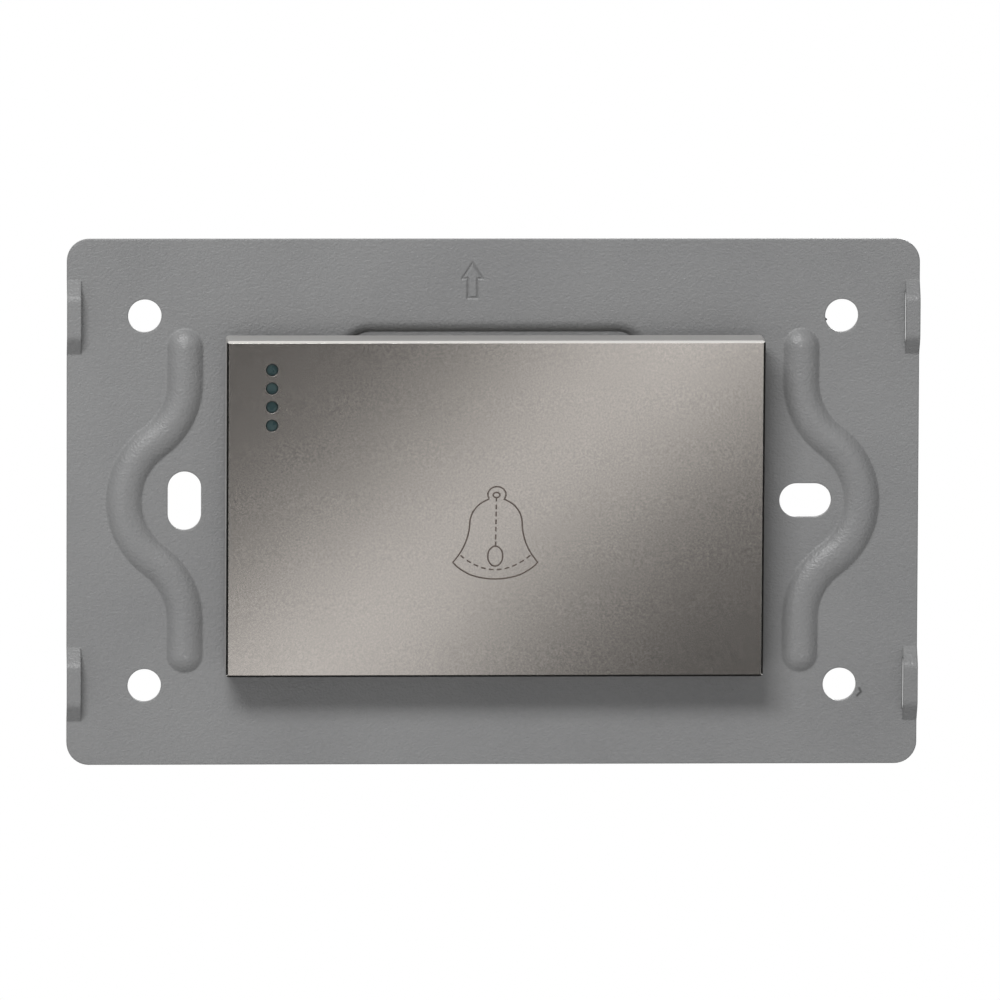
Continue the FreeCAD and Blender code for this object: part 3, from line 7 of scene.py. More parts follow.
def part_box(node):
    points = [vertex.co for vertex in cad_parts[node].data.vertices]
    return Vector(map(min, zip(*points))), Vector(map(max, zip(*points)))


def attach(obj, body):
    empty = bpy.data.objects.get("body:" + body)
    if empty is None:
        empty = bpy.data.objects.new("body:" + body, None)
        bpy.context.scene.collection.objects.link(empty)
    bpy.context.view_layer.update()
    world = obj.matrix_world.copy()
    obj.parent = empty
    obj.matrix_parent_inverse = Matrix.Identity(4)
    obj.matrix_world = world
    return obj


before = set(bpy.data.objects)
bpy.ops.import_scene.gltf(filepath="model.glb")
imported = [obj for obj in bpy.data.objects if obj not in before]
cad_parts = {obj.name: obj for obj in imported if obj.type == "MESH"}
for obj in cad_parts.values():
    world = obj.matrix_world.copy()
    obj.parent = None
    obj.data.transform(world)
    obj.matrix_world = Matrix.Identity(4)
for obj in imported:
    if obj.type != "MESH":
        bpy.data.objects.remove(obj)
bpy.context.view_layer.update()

MM = 0.001
QUARTER_TURN = math.radians(90)
FULL_TURN = 2 * math.pi

# Share of a step across or up that runs along the diagonal between them
DIAGONAL = 0.7071

# The wide push button: where it turns, how it leans and where its face is, in metres
TURN_DEPTH = 1.0 * MM
LEAN = math.radians(2.0)
FACE_REACH = 9.5 * MM

# Printed lines of the bell: width in millimetres on the button's face, thickness as a share of the width
LINE_WIDTH = 0.21
LINE_RISE = 0.16
LINE_ROUNDNESS = 2
LINE_STEPS = 10

# Corners of a printed line that are nearer than this, in metres, become one
LINE_WELD = 0.0005 * MM

# The bell: places and half sizes in millimetres on the face, across and up, and its lean across for a step up
BELL_MIDDLE = 0.07
BELL_LEAN = 0.012
CROWN_CENTRE = (0.13, 2.0)
CROWN_HALF = (1.21, 1.08)
EYE_CENTRE = (0.08, 1.95)
EYE_HALF = (0.45, 0.34)
SHOULDER = [
    (-0.89, 1.42), (-1.34, 1.21), (-2.22, 0.67), (-2.72, 0.12), (-3.08, -0.42), (-3.29, -0.96),
    (-3.41, -1.5), (-3.49, -2.58), (-3.71, -3.66), (-4.08, -4.75), (-4.64, -5.83), (-5.00, -6.37),
    (-5.63, -7.17),
]
LIP = [(-5.63, -7.17), (-4.97, -7.81), (-4.17, -8.35), (-3.36, -8.79), (-1.76, -9.24), (0.07, -9.41)]
STEM_DASHES = [
    (1.55, 1.08), (0.67, 0.0), (-0.31, -0.96), (-1.36, -2.01), (-2.34, -2.97), (-3.38, -4.08), (-4.31, -5.0),
]
CLAPPER_CENTRE = (0.05, -6.32)
CLAPPER_HALF = (0.99, 1.34)
MOUTH_HALF = 4.68
MOUTH_DROP = 1.94
MOUTH_TOP = -6.22

# Turns and counts of the bell: how far the crown reaches below its middle in degrees, and the mouth's dashes
CROWN_OPEN = 30
CROWN_KNOTS = 9
OVAL_KNOTS = 8
MOUTH_TURN = math.radians(40)
MOUTH_DASHES = 10
DASH_SHARE = 0.6

# Upward arrow stamped in the plate, and the depth in front of which the plate's marks show, in metres
ARROW_TIP = (-2.86 * MM, 32.07 * MM)
ARROW_BARB = 1.36 * MM
ARROW_NECK = 30.0 * MM
ARROW_SHAFT = 0.65 * MM
ARROW_FOOT = 27.38 * MM
ARROW_GROOVE = 0.25 * MM
FRONT_LAYER = -0.6 * MM

# Burr beside the lower right hole, a dark mark in the paint: both ends of each side, in metres
BURR_SIDES = [
    ((49.5 * MM, -25.5 * MM), (49.72 * MM, -25.97 * MM)),
    ((49.72 * MM, -25.97 * MM), (49.2 * MM, -26.5 * MM)),
]
BURR_WIDTH = 0.26 * MM

# Crumb of paint on the rim of the upper right hole: place and radius in metres, and how uneven it is
CRUMB_PLACE = (44.64 * MM, -1.05 * MM, 24.45 * MM)
CRUMB_SIZE = 0.17 * MM
CRUMB_STRETCH = (1.0, 0.7, 1.25, 1.0)
CRUMB_SWELL = 0.22
CRUMB_WAVES = (2.3, 3.1)

# Pins of the light guide that show in the button's face, in metres
PIN_ACROSS = -30.0 * MM
PIN_TOP = 18.51 * MM
PIN_STEP = 2.5 * MM
PIN_RADIUS = 0.85 * MM

# Threads of the screws: pitch, and the depths between which a shank is threaded, in metres
FRAME_PITCH = 0.8 * MM
FRAME_SHANK = (-0.8 * MM, 6.0 * MM)
CLAMP_PITCH = 0.5 * MM
CLAMP_SHANK = (19.9 * MM, 23.0 * MM)

# Spans of a value over which a finish changes, and the ends between which it changes
MIDDLE = (0.3, 0.7)
BROAD = (0.25, 0.75)
DULLING = (0.35, 0.7)
WAVE = (-1.0, 1.0)
RISING = (0.0, 1.0)
FALLING = (1.0, 0.0)

# Tones of mouldings, metals, leads and crumb: the pale one first, then the shade
CARRIER_TONES = ((0.60, 0.59, 0.57), (0.52, 0.51, 0.49))
FRAME_TONES = ((0.53, 0.52, 0.50), (0.46, 0.45, 0.43))
HOUSING_TONES = ((0.50, 0.49, 0.47), (0.43, 0.42, 0.40))
PLUNGER_TONES = ((0.74, 0.72, 0.67), (0.66, 0.64, 0.59))
SPRING_TONES = ((0.56, 0.56, 0.56), (0.42, 0.42, 0.42))
ZINC_TONES = ((0.66, 0.65, 0.62), (0.48, 0.46, 0.42))
BRASS_TONES = ((0.66, 0.48, 0.20), (0.48, 0.33, 0.13))
COPPER_TONES = ((0.64, 0.40, 0.24), (0.46, 0.27, 0.15))
SILVER_TONES = ((0.82, 0.81, 0.79), (0.60, 0.59, 0.57))
LINE_LEAD_TONES = ((0.16, 0.07, 0.035), (0.10, 0.04, 0.02))
BELL_LEAD_TONES = ((0.035, 0.035, 0.036), (0.018, 0.018, 0.02))
CRUMB_TONES = ((0.045, 0.045, 0.045), (0.03, 0.03, 0.03))

# Graded card in front of the button: sizes in metres, and the light's level along the band and off it
CARD_MIDDLE = (0.0098, -0.158, -0.0251)
CARD_HALF = 0.12
CARD_BAND = 0.0215
CARD_ENDS = 0.032
CARD_RIM = (0.5 * CARD_HALF, 0.97 * CARD_HALF)
CARD_PEAK = (1.35, 1.72)
CARD_DARK = 0.02

# Cells along each side of the studio's sheets
FLOOR_CELLS = 6
SHEET_CELLS = 2

# Floor and dark flags of the studio, in metres
FLOOR_HALF = 0.55
FLOOR_PLACE = (0, -0.25, -0.12)
FLAG_HALF = 0.12
LEFT_FLAG = (-0.22, -0.02, 0.0)
RIGHT_FLAG = (0.22, -0.02, 0.0)
LOW_FLAG = (0.0, 0.0, -0.1)

# Lamps in metres and watts, and the levels of the light from all round and of the white that is seen
KEY_PLACE = (-0.22, -0.64, 0.556)
KEY_SIZE = (0.42, 0.2)
KEY_POWER = 6.05
FILL_PLACE = (0.3, 0.55, 0.3)
FILL_SIZE = (0.4, 0.4)
FILL_POWER = 3.0
ROOM_LEVEL = 0.22
WHITE_LEVEL = 1.0

# Camera: its turn, rise and roll, its distance and aim in metres, and the width that it sees there
CAMERA_TURN = math.radians(-2.9)
CAMERA_RISE = math.radians(6.6)
CAMERA_ROLL = math.radians(0.25)
CAMERA_DISTANCE = 2.0
CAMERA_AIM = (1.0 * MM, 0, -0.05 * MM)
VIEW_WIDTH = 0.1344
SENSOR_WIDTH = 36
NEAREST_SEEN = 0.05


# Node helpers

def new_finish(name):
    material = bpy.data.materials.new(name)
    material.use_nodes = True
    tree = material.node_tree
    return material, tree, tree.nodes["Principled BSDF"]


def set_shader(shader, metal=0.0, rough=0.5, sheen=0.0, coat=0.0, specular=0.5):
    coat_rough = 0.1
    shader.inputs["Metallic"].default_value = metal
    shader.inputs["Roughness"].default_value = rough
    shader.inputs["Sheen Weight"].default_value = sheen
    shader.inputs["Coat Weight"].default_value = coat
    shader.inputs["Coat Roughness"].default_value = coat_rough
    shader.inputs["Specular IOR Level"].default_value = specular


def feed(tree, shader, results):
    # Each result drives the shader's socket of that name
    for socket, result in results.items():
        tree.links.new(result, shader.inputs[socket])


def put(tree, socket, value):
    # A number or a vector is set on the socket, and a node's result is linked to it
    if isinstance(value, (int, float, tuple, Vector)):
        socket.default_value = value
    else:
        tree.links.new(value, socket)


def placed(tree, stretch=(1, 1, 1), move=(0, 0, 0)):
    where = tree.nodes.new("ShaderNodeTexCoord")
    mapping = tree.nodes.new("ShaderNodeMapping")
    mapping.inputs["Scale"].default_value = stretch
    mapping.inputs["Location"].default_value = move
    tree.links.new(where.outputs["Object"], mapping.inputs["Vector"])
    return mapping.outputs["Vector"]


def cloud(tree, vector, size, detail=2.0, rough=0.5):
    noise = tree.nodes.new("ShaderNodeTexNoise")
    noise.inputs["Scale"].default_value = 1.0 / size
    noise.inputs["Detail"].default_value = detail
    noise.inputs["Roughness"].default_value = rough
    tree.links.new(vector, noise.inputs["Vector"])
    return noise.outputs["Fac"]


def sums(tree, kind, *values, clamp=False):
    node = tree.nodes.new("ShaderNodeMath")
    node.operation = kind
    node.use_clamp = clamp
    for socket, value in zip(node.inputs, values):
        put(tree, socket, value)
    return node.outputs["Value"]


def vector_sums(tree, kind, *values):
    node = tree.nodes.new("ShaderNodeVectorMath")
    node.operation = kind
    for socket, value in zip(node.inputs, values):
        put(tree, socket, value)
    return node.outputs


def between(tree, value, span, ends=RISING, smooth=False):
    # As the value crosses the span, the result goes from the first end to the second
    node = tree.nodes.new("ShaderNodeMapRange")
    node.interpolation_type = "SMOOTHSTEP" if smooth else "LINEAR"
    node.inputs["From Min"].default_value = span[0]
    node.inputs["From Max"].default_value = span[1]
    node.inputs["To Min"].default_value = ends[0]
    node.inputs["To Max"].default_value = ends[1]
    tree.links.new(value, node.inputs["Value"])
    return node.outputs["Result"]


def blended(tree, share, first, second):
    # In the node that mixes, the sockets for colours come after those for numbers and vectors
    share_socket, first_socket, second_socket, colour_result = 0, 6, 7, 2
    opaque = (1.0,)
    node = tree.nodes.new("ShaderNodeMix")
    node.data_type = "RGBA"
    node.clamp_factor = True
    for socket, colour in ((first_socket, first), (second_socket, second)):
        put(tree, node.inputs[socket], colour + opaque if isinstance(colour, tuple) else colour)
    tree.links.new(share, node.inputs[share_socket])
    return node.outputs[colour_result]


def relief(tree, height, depth, under=None):
    node = tree.nodes.new("ShaderNodeBump")
    node.inputs["Strength"].default_value = 1.0
    node.inputs["Distance"].default_value = depth
    tree.links.new(height, node.inputs["Height"])
    if under is not None:
        tree.links.new(under, node.inputs["Normal"])
    return node.outputs["Normal"]


def eased_edges(tree, radius):
    node = tree.nodes.new("ShaderNodeBevel")
    node.samples = 4
    node.inputs["Radius"].default_value = radius
    return node.outputs["Normal"]


def split(tree, vector):
    node = tree.nodes.new("ShaderNodeSeparateXYZ")
    tree.links.new(vector, node.inputs["Vector"])
    return node.outputs


def joined(tree, across, deep, up):
    node = tree.nodes.new("ShaderNodeCombineXYZ")
    for socket, value in zip(node.inputs, (across, deep, up)):
        put(tree, socket, value)
    return node.outputs["Vector"]


# Finishes

def line_distance(tree, point, start, end):
    # Distance on the plate's front from one straight line that is drawn there
    side = Vector((end[0] - start[0], 0.0, end[1] - start[1]))
    from_start = vector_sums(tree, "SUBTRACT", point, (start[0], 0.0, start[1]))["Vector"]
    along = vector_sums(tree, "DOT_PRODUCT", from_start, side / side.length_squared)["Value"]
    share = sums(tree, "MULTIPLY", along, 1.0, clamp=True)
    nearest = tree.nodes.new("ShaderNodeVectorMath")
    nearest.operation = "SCALE"
    nearest.inputs[0].default_value = side
    tree.links.new(share, nearest.inputs["Scale"])
    return vector_sums(tree, "DISTANCE", from_start, nearest.outputs["Vector"])["Value"]


def drawn_lines(tree, point, lines, width):
    # One in the middle of a line, falling evenly to nought at its width
    nearest = None
    for start, end in lines:
        distance = line_distance(tree, point, start, end)
        nearest = distance if nearest is None else sums(tree, "MINIMUM", nearest, distance)
    return between(tree, nearest, (0.0, width), FALLING)


def arrow_sides():
    tip, top = ARROW_TIP
    corners = [
        (tip, top), (tip + ARROW_BARB, ARROW_NECK), (tip + ARROW_SHAFT, ARROW_NECK),
        (tip + ARROW_SHAFT, ARROW_FOOT), (tip - ARROW_SHAFT, ARROW_FOOT),
        (tip - ARROW_SHAFT, ARROW_NECK), (tip - ARROW_BARB, ARROW_NECK),
    ]
    return list(zip(corners, corners[1:] + corners[:1]))


def plate_paint():
    # Satin grey stoving paint on the pressed plate: orange peel, dark specks, the stamped arrow with painted
    # shade in its groove, and the burr
    dull_grey = (0.196, 0.197, 0.199)
    pale_grey = (0.218, 0.219, 0.220)
    crest_grey = (0.240, 0.241, 0.242)
    speck_tone = (0.12, 0.12, 0.12)
    groove_shade_tone = (0.06, 0.06, 0.06)
    burr_tone = (0.04, 0.04, 0.04)
    crest_share, speck_share, groove_shade_share, burr_share = 0.35, 0.4, 0.34, 0.95
    speck_span = (0.75, 0.80)
    rough_ends = (0.38, 0.46)

    material, tree, shader = new_finish("grey satin stoving paint")
    here = placed(tree)
    across, deep, up = split(tree, here)
    sprayed = placed(tree, stretch=(0.82, 1, 1))
    peel = cloud(tree, sprayed, size=0.5 * MM, rough=0.45)
    pores = cloud(tree, sprayed, size=0.30 * MM)
    drift = cloud(tree, here, size=22 * MM)
    specks = cloud(tree, placed(tree, move=(0.4, 0.1, 0.2)), size=0.9 * MM, rough=0.6)
    flat_point = joined(tree, across, 0.0, up)
    front_only = sums(tree, "LESS_THAN", deep, FRONT_LAYER)
    groove = sums(tree, "MULTIPLY", drawn_lines(tree, flat_point, arrow_sides(), ARROW_GROOVE), front_only)
    burr = sums(tree, "MULTIPLY", drawn_lines(tree, flat_point, BURR_SIDES, BURR_WIDTH), front_only)

    grey = blended(tree, between(tree, drift, MIDDLE), dull_grey, pale_grey)
    grey = blended(tree, between(tree, peel, BROAD, (0.0, crest_share)), grey, crest_grey)
    grey = blended(tree, between(tree, specks, speck_span, (0.0, speck_share)), grey, speck_tone)
    # Painted shade: the paint darkens inside the arrow's groove, where shade falls
    grey = blended(tree, sums(tree, "MULTIPLY", groove, groove_shade_share), grey, groove_shade_tone)
    grey = blended(tree, sums(tree, "MULTIPLY", burr, burr_share), grey, burr_tone)
    normal = relief(tree, peel, depth=0.05 * MM, under=eased_edges(tree, radius=0.3 * MM))
    normal = relief(tree, pores, depth=0.085 * MM, under=normal)
    normal = relief(tree, sums(tree, "MULTIPLY", groove, -1.0), depth=0.13 * MM, under=normal)
    rough = between(tree, drift, MIDDLE, rough_ends)
    set_shader(shader)
    feed(tree, shader, {"Base Color": grey, "Normal": normal, "Roughness": rough})
    return material


def button_metal():
    # Finely blasted champagne sheet, with a bright cut bevel round its face and duller walls
    satin_dull = (0.585, 0.543, 0.505)
    satin_pale = (0.63, 0.585, 0.545)
    grain_tone = (0.45, 0.425, 0.395)
    bevel_tone = (0.70, 0.685, 0.655)
    wall_tone = (0.60, 0.59, 0.575)
    grain_share, wall_metal = 0.8, 0.6
    bevel_polish, wall_dullness = 0.1, 0.15
    straight_out = (0.0, -math.cos(LEAN), -math.sin(LEAN))
    wall_span, bevel_start, bevel_end = (0.2, 0.35), (0.35, 0.5), (0.85, 0.95)
    grain_span, rough_ends = (0.2, 0.8), (0.24, 0.27)

    material, tree, shader = new_finish("champagne satin metal")
    here = placed(tree)
    grain = cloud(tree, here, size=0.24 * MM)
    bloom = cloud(tree, here, size=14 * MM)
    facing = tree.nodes.new("ShaderNodeTexCoord").outputs["Normal"]
    turned = vector_sums(tree, "DOT_PRODUCT", facing, straight_out)["Value"]
    wall = between(tree, turned, wall_span, FALLING, smooth=True)
    off_wall = between(tree, turned, bevel_start, smooth=True)
    off_face = between(tree, turned, bevel_end, FALLING, smooth=True)
    bevel = sums(tree, "MULTIPLY", off_wall, off_face)

    satin = blended(tree, between(tree, bloom, MIDDLE), satin_dull, satin_pale)
    satin = blended(tree, between(tree, grain, MIDDLE, (grain_share, 0.0)), satin, grain_tone)
    metal = blended(tree, bevel, satin, bevel_tone)
    metal = blended(tree, wall, metal, wall_tone)
    rough = between(tree, grain, grain_span, rough_ends)
    rough = sums(tree, "SUBTRACT", rough, sums(tree, "MULTIPLY", bevel, bevel_polish))
    rough = sums(tree, "ADD", rough, sums(tree, "MULTIPLY", wall, wall_dullness))
    normal = relief(tree, grain, depth=0.0008 * MM, under=eased_edges(tree, radius=0.05 * MM))
    metallic = between(tree, wall, RISING, (1.0, wall_metal))
    set_shader(shader)
    feed(tree, shader, {"Base Color": metal, "Normal": normal, "Metallic": metallic, "Roughness": rough})
    return material


def moulded(name, tones, rough=0.5):
    # Injection-moulded plastic with a fine spark-eroded grain
    pale, shade = tones
    grain_span, grain_share = (0.3, 0.75), 0.22
    rough_ends = (rough - 0.06, rough + 0.06)

    material, tree, shader = new_finish(name)
    here = placed(tree)
    grain = cloud(tree, here, size=0.5 * MM, detail=3.0, rough=0.6)
    drift = cloud(tree, here, size=18 * MM)
    colour = blended(tree, between(tree, drift, MIDDLE), shade, pale)
    colour = blended(tree, between(tree, grain, grain_span, (0.0, grain_share)), colour, shade)
    normal = relief(tree, grain, depth=0.006 * MM, under=eased_edges(tree, radius=0.25 * MM))
    uneven = between(tree, grain, MIDDLE, rough_ends)
    set_shader(shader, rough=rough)
    feed(tree, shader, {"Base Color": colour, "Normal": normal, "Roughness": uneven})
    return material


def smoked_guide():
    # Dark teal light guide: each pin that shows in the button's face darkens towards its rim, a painted shade
    # of the hole it sits in
    deep_teal = (0.022, 0.043, 0.045)
    pale_teal = (0.033, 0.060, 0.062)
    rim_shade_tone = (0.006, 0.012, 0.012)
    rim_shade_share = 0.8
    rim_shade_span = (0.5 * PIN_RADIUS, 0.95 * PIN_RADIUS)
    tint_span, rough_ends = (0.35, 0.65), (0.24, 0.34)

    material, tree, shader = new_finish("smoked teal light guide")
    here = placed(tree)
    tint = cloud(tree, here, size=1.1 * MM)
    axes = split(tree, here)
    off_pin = sums(tree, "WRAP", sums(tree, "SUBTRACT", axes["Z"], PIN_TOP), PIN_STEP / 2, -PIN_STEP / 2)
    off_axis = joined(tree, sums(tree, "SUBTRACT", axes["X"], PIN_ACROSS), 0.0, off_pin)
    # Painted shade: each pin darkens towards the rim of its hole in the face
    rim = between(tree, vector_sums(tree, "LENGTH", off_axis)["Value"], rim_shade_span, smooth=True)
    colour = blended(tree, between(tree, tint, tint_span), deep_teal, pale_teal)
    colour = blended(tree, sums(tree, "MULTIPLY", rim, rim_shade_share), colour, rim_shade_tone)
    normal = relief(tree, tint, depth=0.01 * MM, under=eased_edges(tree, radius=0.2 * MM))
    rough = between(tree, tint, MIDDLE, rough_ends)
    set_shader(shader, specular=0.4)
    feed(tree, shader, {"Base Color": colour, "Normal": normal, "Roughness": rough})
    return material


def worked_metal(name, tones, rough, streak=(1, 1, 1), grain=0.35 * MM):
    # Drawn, pressed or plated metal with fine tool streaks and slight dulling
    pale, shade = tones
    rough_ends = (rough - 0.07, rough + 0.09)

    material, tree, shader = new_finish(name)
    fine = cloud(tree, placed(tree, stretch=streak), grain, detail=3.0, rough=0.6)
    dull = cloud(tree, placed(tree), size=3.5 * MM, detail=3.0)
    colour = blended(tree, between(tree, dull, DULLING), pale, shade)
    normal = relief(tree, fine, depth=0.003 * MM, under=eased_edges(tree, radius=0.1 * MM))
    uneven = between(tree, fine, BROAD, rough_ends)
    set_shader(shader, metal=1.0, rough=rough)
    feed(tree, shader, {"Base Color": colour, "Normal": normal, "Roughness": uneven})
    return material


def threaded_zinc(name, pitch, shank):
    # Zinc-plated screw metal: the shank carries a fine thread with painted shade in its roots, the head is
    # plain
    pale, shade = ZINC_TONES
    rough = 0.3
    root_shade_span, root_shade_share = (-1.0, -0.4), 0.5
    rough_ends = (rough - 0.06, rough + 0.08)

    material, tree, shader = new_finish(name)
    here = placed(tree)
    deep = split(tree, here)["Y"]
    fine = cloud(tree, here, size=0.3 * MM, detail=3.0)
    dull = cloud(tree, here, size=2.5 * MM, detail=3.0)
    turns = sums(tree, "SINE", sums(tree, "MULTIPLY", deep, FULL_TURN / pitch))
    past_start = sums(tree, "GREATER_THAN", deep, shank[0])
    before_end = sums(tree, "LESS_THAN", deep, shank[1])
    thread = sums(tree, "MULTIPLY", turns, sums(tree, "MULTIPLY", past_start, before_end))
    colour = blended(tree, between(tree, dull, DULLING), pale, shade)
    # Painted shade: the colour darkens in the roots of the thread
    colour = blended(tree, between(tree, thread, root_shade_span, (root_shade_share, 0.0)), colour, shade)
    normal = relief(tree, thread, depth=0.09 * MM, under=eased_edges(tree, radius=0.08 * MM))
    normal = relief(tree, fine, depth=0.002 * MM, under=normal)
    uneven = between(tree, fine, BROAD, rough_ends)
    set_shader(shader, metal=1.0, rough=rough)
    feed(tree, shader, {"Base Color": colour, "Normal": normal, "Roughness": uneven})
    return material


def board_lacquer():
    # Green lacquered board with the faint weave of the glass cloth under it
    deep_green = (0.018, 0.11, 0.045)
    pale_green = (0.03, 0.16, 0.07)
    weave_step = 0.5 * MM

    material, tree, shader = new_finish("green board lacquer")
    axes = split(tree, placed(tree))
    weft = sums(tree, "SINE", sums(tree, "MULTIPLY", axes["X"], FULL_TURN / weave_step))
    warp = sums(tree, "SINE", sums(tree, "MULTIPLY", axes["Z"], FULL_TURN / weave_step))
    weave = sums(tree, "MULTIPLY", weft, warp)
    colour = blended(tree, between(tree, weave, WAVE), deep_green, pale_green)
    normal = relief(tree, weave, depth=0.006 * MM, under=eased_edges(tree, radius=0.1 * MM))
    set_shader(shader, rough=0.28, coat=0.3)
    feed(tree, shader, {"Base Color": colour, "Normal": normal})
    return material


def resistor_lacquer():
    # Lacquered resistor body with its colour rings: where each is along the body, and its tone
    colour = (0.52, 0.36, 0.2)
    brown, black, red, gold = (0.28, 0.1, 0.03), (0.02, 0.02, 0.02), (0.45, 0.04, 0.02), (0.6, 0.42, 0.1)
    rings = ((0.26, brown), (0.4, black), (0.54, red), (0.74, gold))
    ring_half = 0.04

    material, tree, shader = new_finish("resistor lacquer and rings")
    up = split(tree, placed(tree))["Z"]
    low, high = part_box("indicator_resistor")
    along = between(tree, up, (low.z, high.z))
    for middle, ring in rings:
        off_ring = sums(tree, "ABSOLUTE", sums(tree, "SUBTRACT", along, middle))
        colour = blended(tree, sums(tree, "LESS_THAN", off_ring, ring_half), colour, ring)
    lumps = cloud(tree, placed(tree), size=0.2 * (high.z - low.z))
    set_shader(shader, rough=0.25, coat=0.5)
    feed(tree, shader, {"Base Color": colour, "Normal": relief(tree, lumps, depth=0.02 * MM)})
    return material


def soft_coat(name, tones):
    # Soft, slightly uneven coat: the sleeve of a lead, or a crumb of paint
    pale, shade = tones
    material, tree, shader = new_finish(name)
    fine = cloud(tree, placed(tree), size=0.4 * MM, detail=3.0)
    colour = blended(tree, between(tree, fine, MIDDLE), shade, pale)
    set_shader(shader, rough=0.42, sheen=0.15)
    feed(tree, shader, {"Base Color": colour, "Normal": relief(tree, fine, depth=0.008 * MM)})
    return material


def lamp_lens():
    # White lamp body that turns water-green towards the lens at its front
    body_dull = (0.70, 0.70, 0.66)
    body_pale = (0.78, 0.78, 0.74)
    lens_green = (0.42, 0.62, 0.55)

    material, tree, shader = new_finish("lamp body and lens")
    here = placed(tree)
    deep = split(tree, here)["Y"]
    low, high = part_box("indicator_lamp")
    lens = between(tree, deep, (low.y, 0.5 * (low.y + high.y)), FALLING, smooth=True)
    fine = cloud(tree, here, size=0.3 * MM)
    body = blended(tree, between(tree, fine, MIDDLE), body_dull, body_pale)
    colour = blended(tree, lens, body, lens_green)
    normal = relief(tree, fine, depth=0.004 * MM, under=eased_edges(tree, radius=0.1 * MM))
    set_shader(shader, rough=0.18, coat=0.5)
    feed(tree, shader, {"Base Color": colour, "Normal": normal})
    return material


def bell_ink():
    # Dark brown printing ink, slightly thinner in places
    thick_ink = (0.075, 0.056, 0.046)
    thin_ink = (0.110, 0.086, 0.072)

    material, tree, shader = new_finish("bell printing ink")
    patch = cloud(tree, placed(tree), size=0.5 * MM, detail=3.0)
    colour = blended(tree, between(tree, patch, MIDDLE), thick_ink, thin_ink)
    set_shader(shader, rough=0.45)
    feed(tree, shader, {"Base Color": colour, "Normal": relief(tree, patch, depth=0.004 * MM)})
    return material


# Making of pieces

def mesh_of(name, form, place):
    mesh = bpy.data.meshes.new(name)
    form.to_mesh(mesh)
    form.free()
    mesh.transform(place)
    return mesh


def new_object(name, data):
    made = bpy.data.objects.new(name, data)
    bpy.context.scene.collection.objects.link(made)
    return made


def shade_smooth(mesh):
    for face in mesh.polygons:
        face.use_smooth = True


# Printed bell

def face_place():
    # From a drawing on the level to its place on the leaning face, outwards along -Y
    return (
        Matrix.Translation((0, TURN_DEPTH, 0))
        @ Matrix.Rotation(LEAN, 4, "X")
        @ Matrix.Translation((0, -FACE_REACH, 0))
        @ Matrix.Rotation(QUARTER_TURN, 4, "X")
        @ Matrix.Diagonal((MM, MM, MM * LINE_RISE, 1))
    )


def line_curve(name, strokes, closed):
    # Rounded lines through the points of each stroke, on the level
    curve = bpy.data.curves.new(name, "CURVE")
    curve.dimensions = "3D"
    curve.bevel_depth = LINE_WIDTH / 2
    curve.bevel_resolution = LINE_ROUNDNESS
    curve.resolution_u = LINE_STEPS
    curve.use_fill_caps = True
    for points in strokes:
        spline = curve.splines.new("BEZIER")
        spline.bezier_points.add(len(points) - 1)
        for knot, (across, up) in zip(spline.bezier_points, points):
            knot.co = (across + BELL_LEAN * up, up, 0)
            knot.handle_left_type = "AUTO"
            knot.handle_right_type = "AUTO"
        spline.use_cyclic_u = closed
    return curve


def printed_line(name, strokes, ink, closed=False):
    # One part of the bell's drawing, as a closed mesh on the button's face
    holder = new_object(name + "_curve", line_curve(name, strokes, closed))
    bpy.context.view_layer.update()
    mesh = bpy.data.meshes.new_from_object(holder)
    bpy.data.objects.remove(holder)
    mesh.name = name
    mesh.transform(face_place())
    mesh.materials.clear()
    mesh.materials.append(ink)
    form = bmesh.new()
    form.from_mesh(mesh)
    bmesh.ops.remove_doubles(form, verts=form.verts, dist=LINE_WELD)
    bmesh.ops.recalc_face_normals(form, faces=form.faces)
    form.to_mesh(mesh)
    form.free()
    shade_smooth(mesh)
    line = new_object(name, mesh)
    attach(line, "rocker")


def on_oval(centre, half, turn):
    return centre[0] + half[0] * math.cos(turn), centre[1] + half[1] * math.sin(turn)


def oval(centre, half):
    return [on_oval(centre, half, FULL_TURN * k / OVAL_KNOTS) for k in range(OVAL_KNOTS)]


def crown_arc():
    # The loop on top of the bell, open below where the shoulders leave it
    step = (180 + 2 * CROWN_OPEN) / (CROWN_KNOTS - 1)
    turns = [math.radians(k * step - CROWN_OPEN) for k in range(CROWN_KNOTS)]
    return [on_oval(CROWN_CENTRE, CROWN_HALF, turn) for turn in turns]


def mouth_dashes():
    # The far rim of the bell's mouth, drawn as a row of dashes on a shallow arc
    step = 2 * MOUTH_TURN / (MOUTH_DASHES - 1 + DASH_SHARE)
    dashes = []
    for k in range(MOUTH_DASHES):
        turns = [(k + part * DASH_SHARE) * step - MOUTH_TURN for part in (0, 0.5, 1)]
        shares = [math.sin(turn) / math.sin(MOUTH_TURN) for turn in turns]
        dashes.append([(BELL_MIDDLE + MOUTH_HALF * t, MOUTH_TOP - MOUTH_DROP * (1 - t * t)) for t in shares])
    return dashes


def mirrored(points):
    return [(2 * BELL_MIDDLE - across, up) for across, up in points]


def bell(ink):
    printed_line("bell_crown", [crown_arc()], ink)
    printed_line("bell_eye", [oval(EYE_CENTRE, EYE_HALF)], ink, closed=True)
    printed_line("bell_side_left", [SHOULDER], ink)
    printed_line("bell_side_right", [mirrored(SHOULDER)], ink)
    printed_line("bell_lip", [LIP + mirrored(LIP)[-2::-1]], ink)
    printed_line("bell_stem", [[(BELL_MIDDLE, top), (BELL_MIDDLE, low)] for top, low in STEM_DASHES], ink)
    printed_line("bell_clapper", [oval(CLAPPER_CENTRE, CLAPPER_HALF)], ink, closed=True)
    printed_line("bell_mouth", mouth_dashes(), ink)


# Crumb of paint

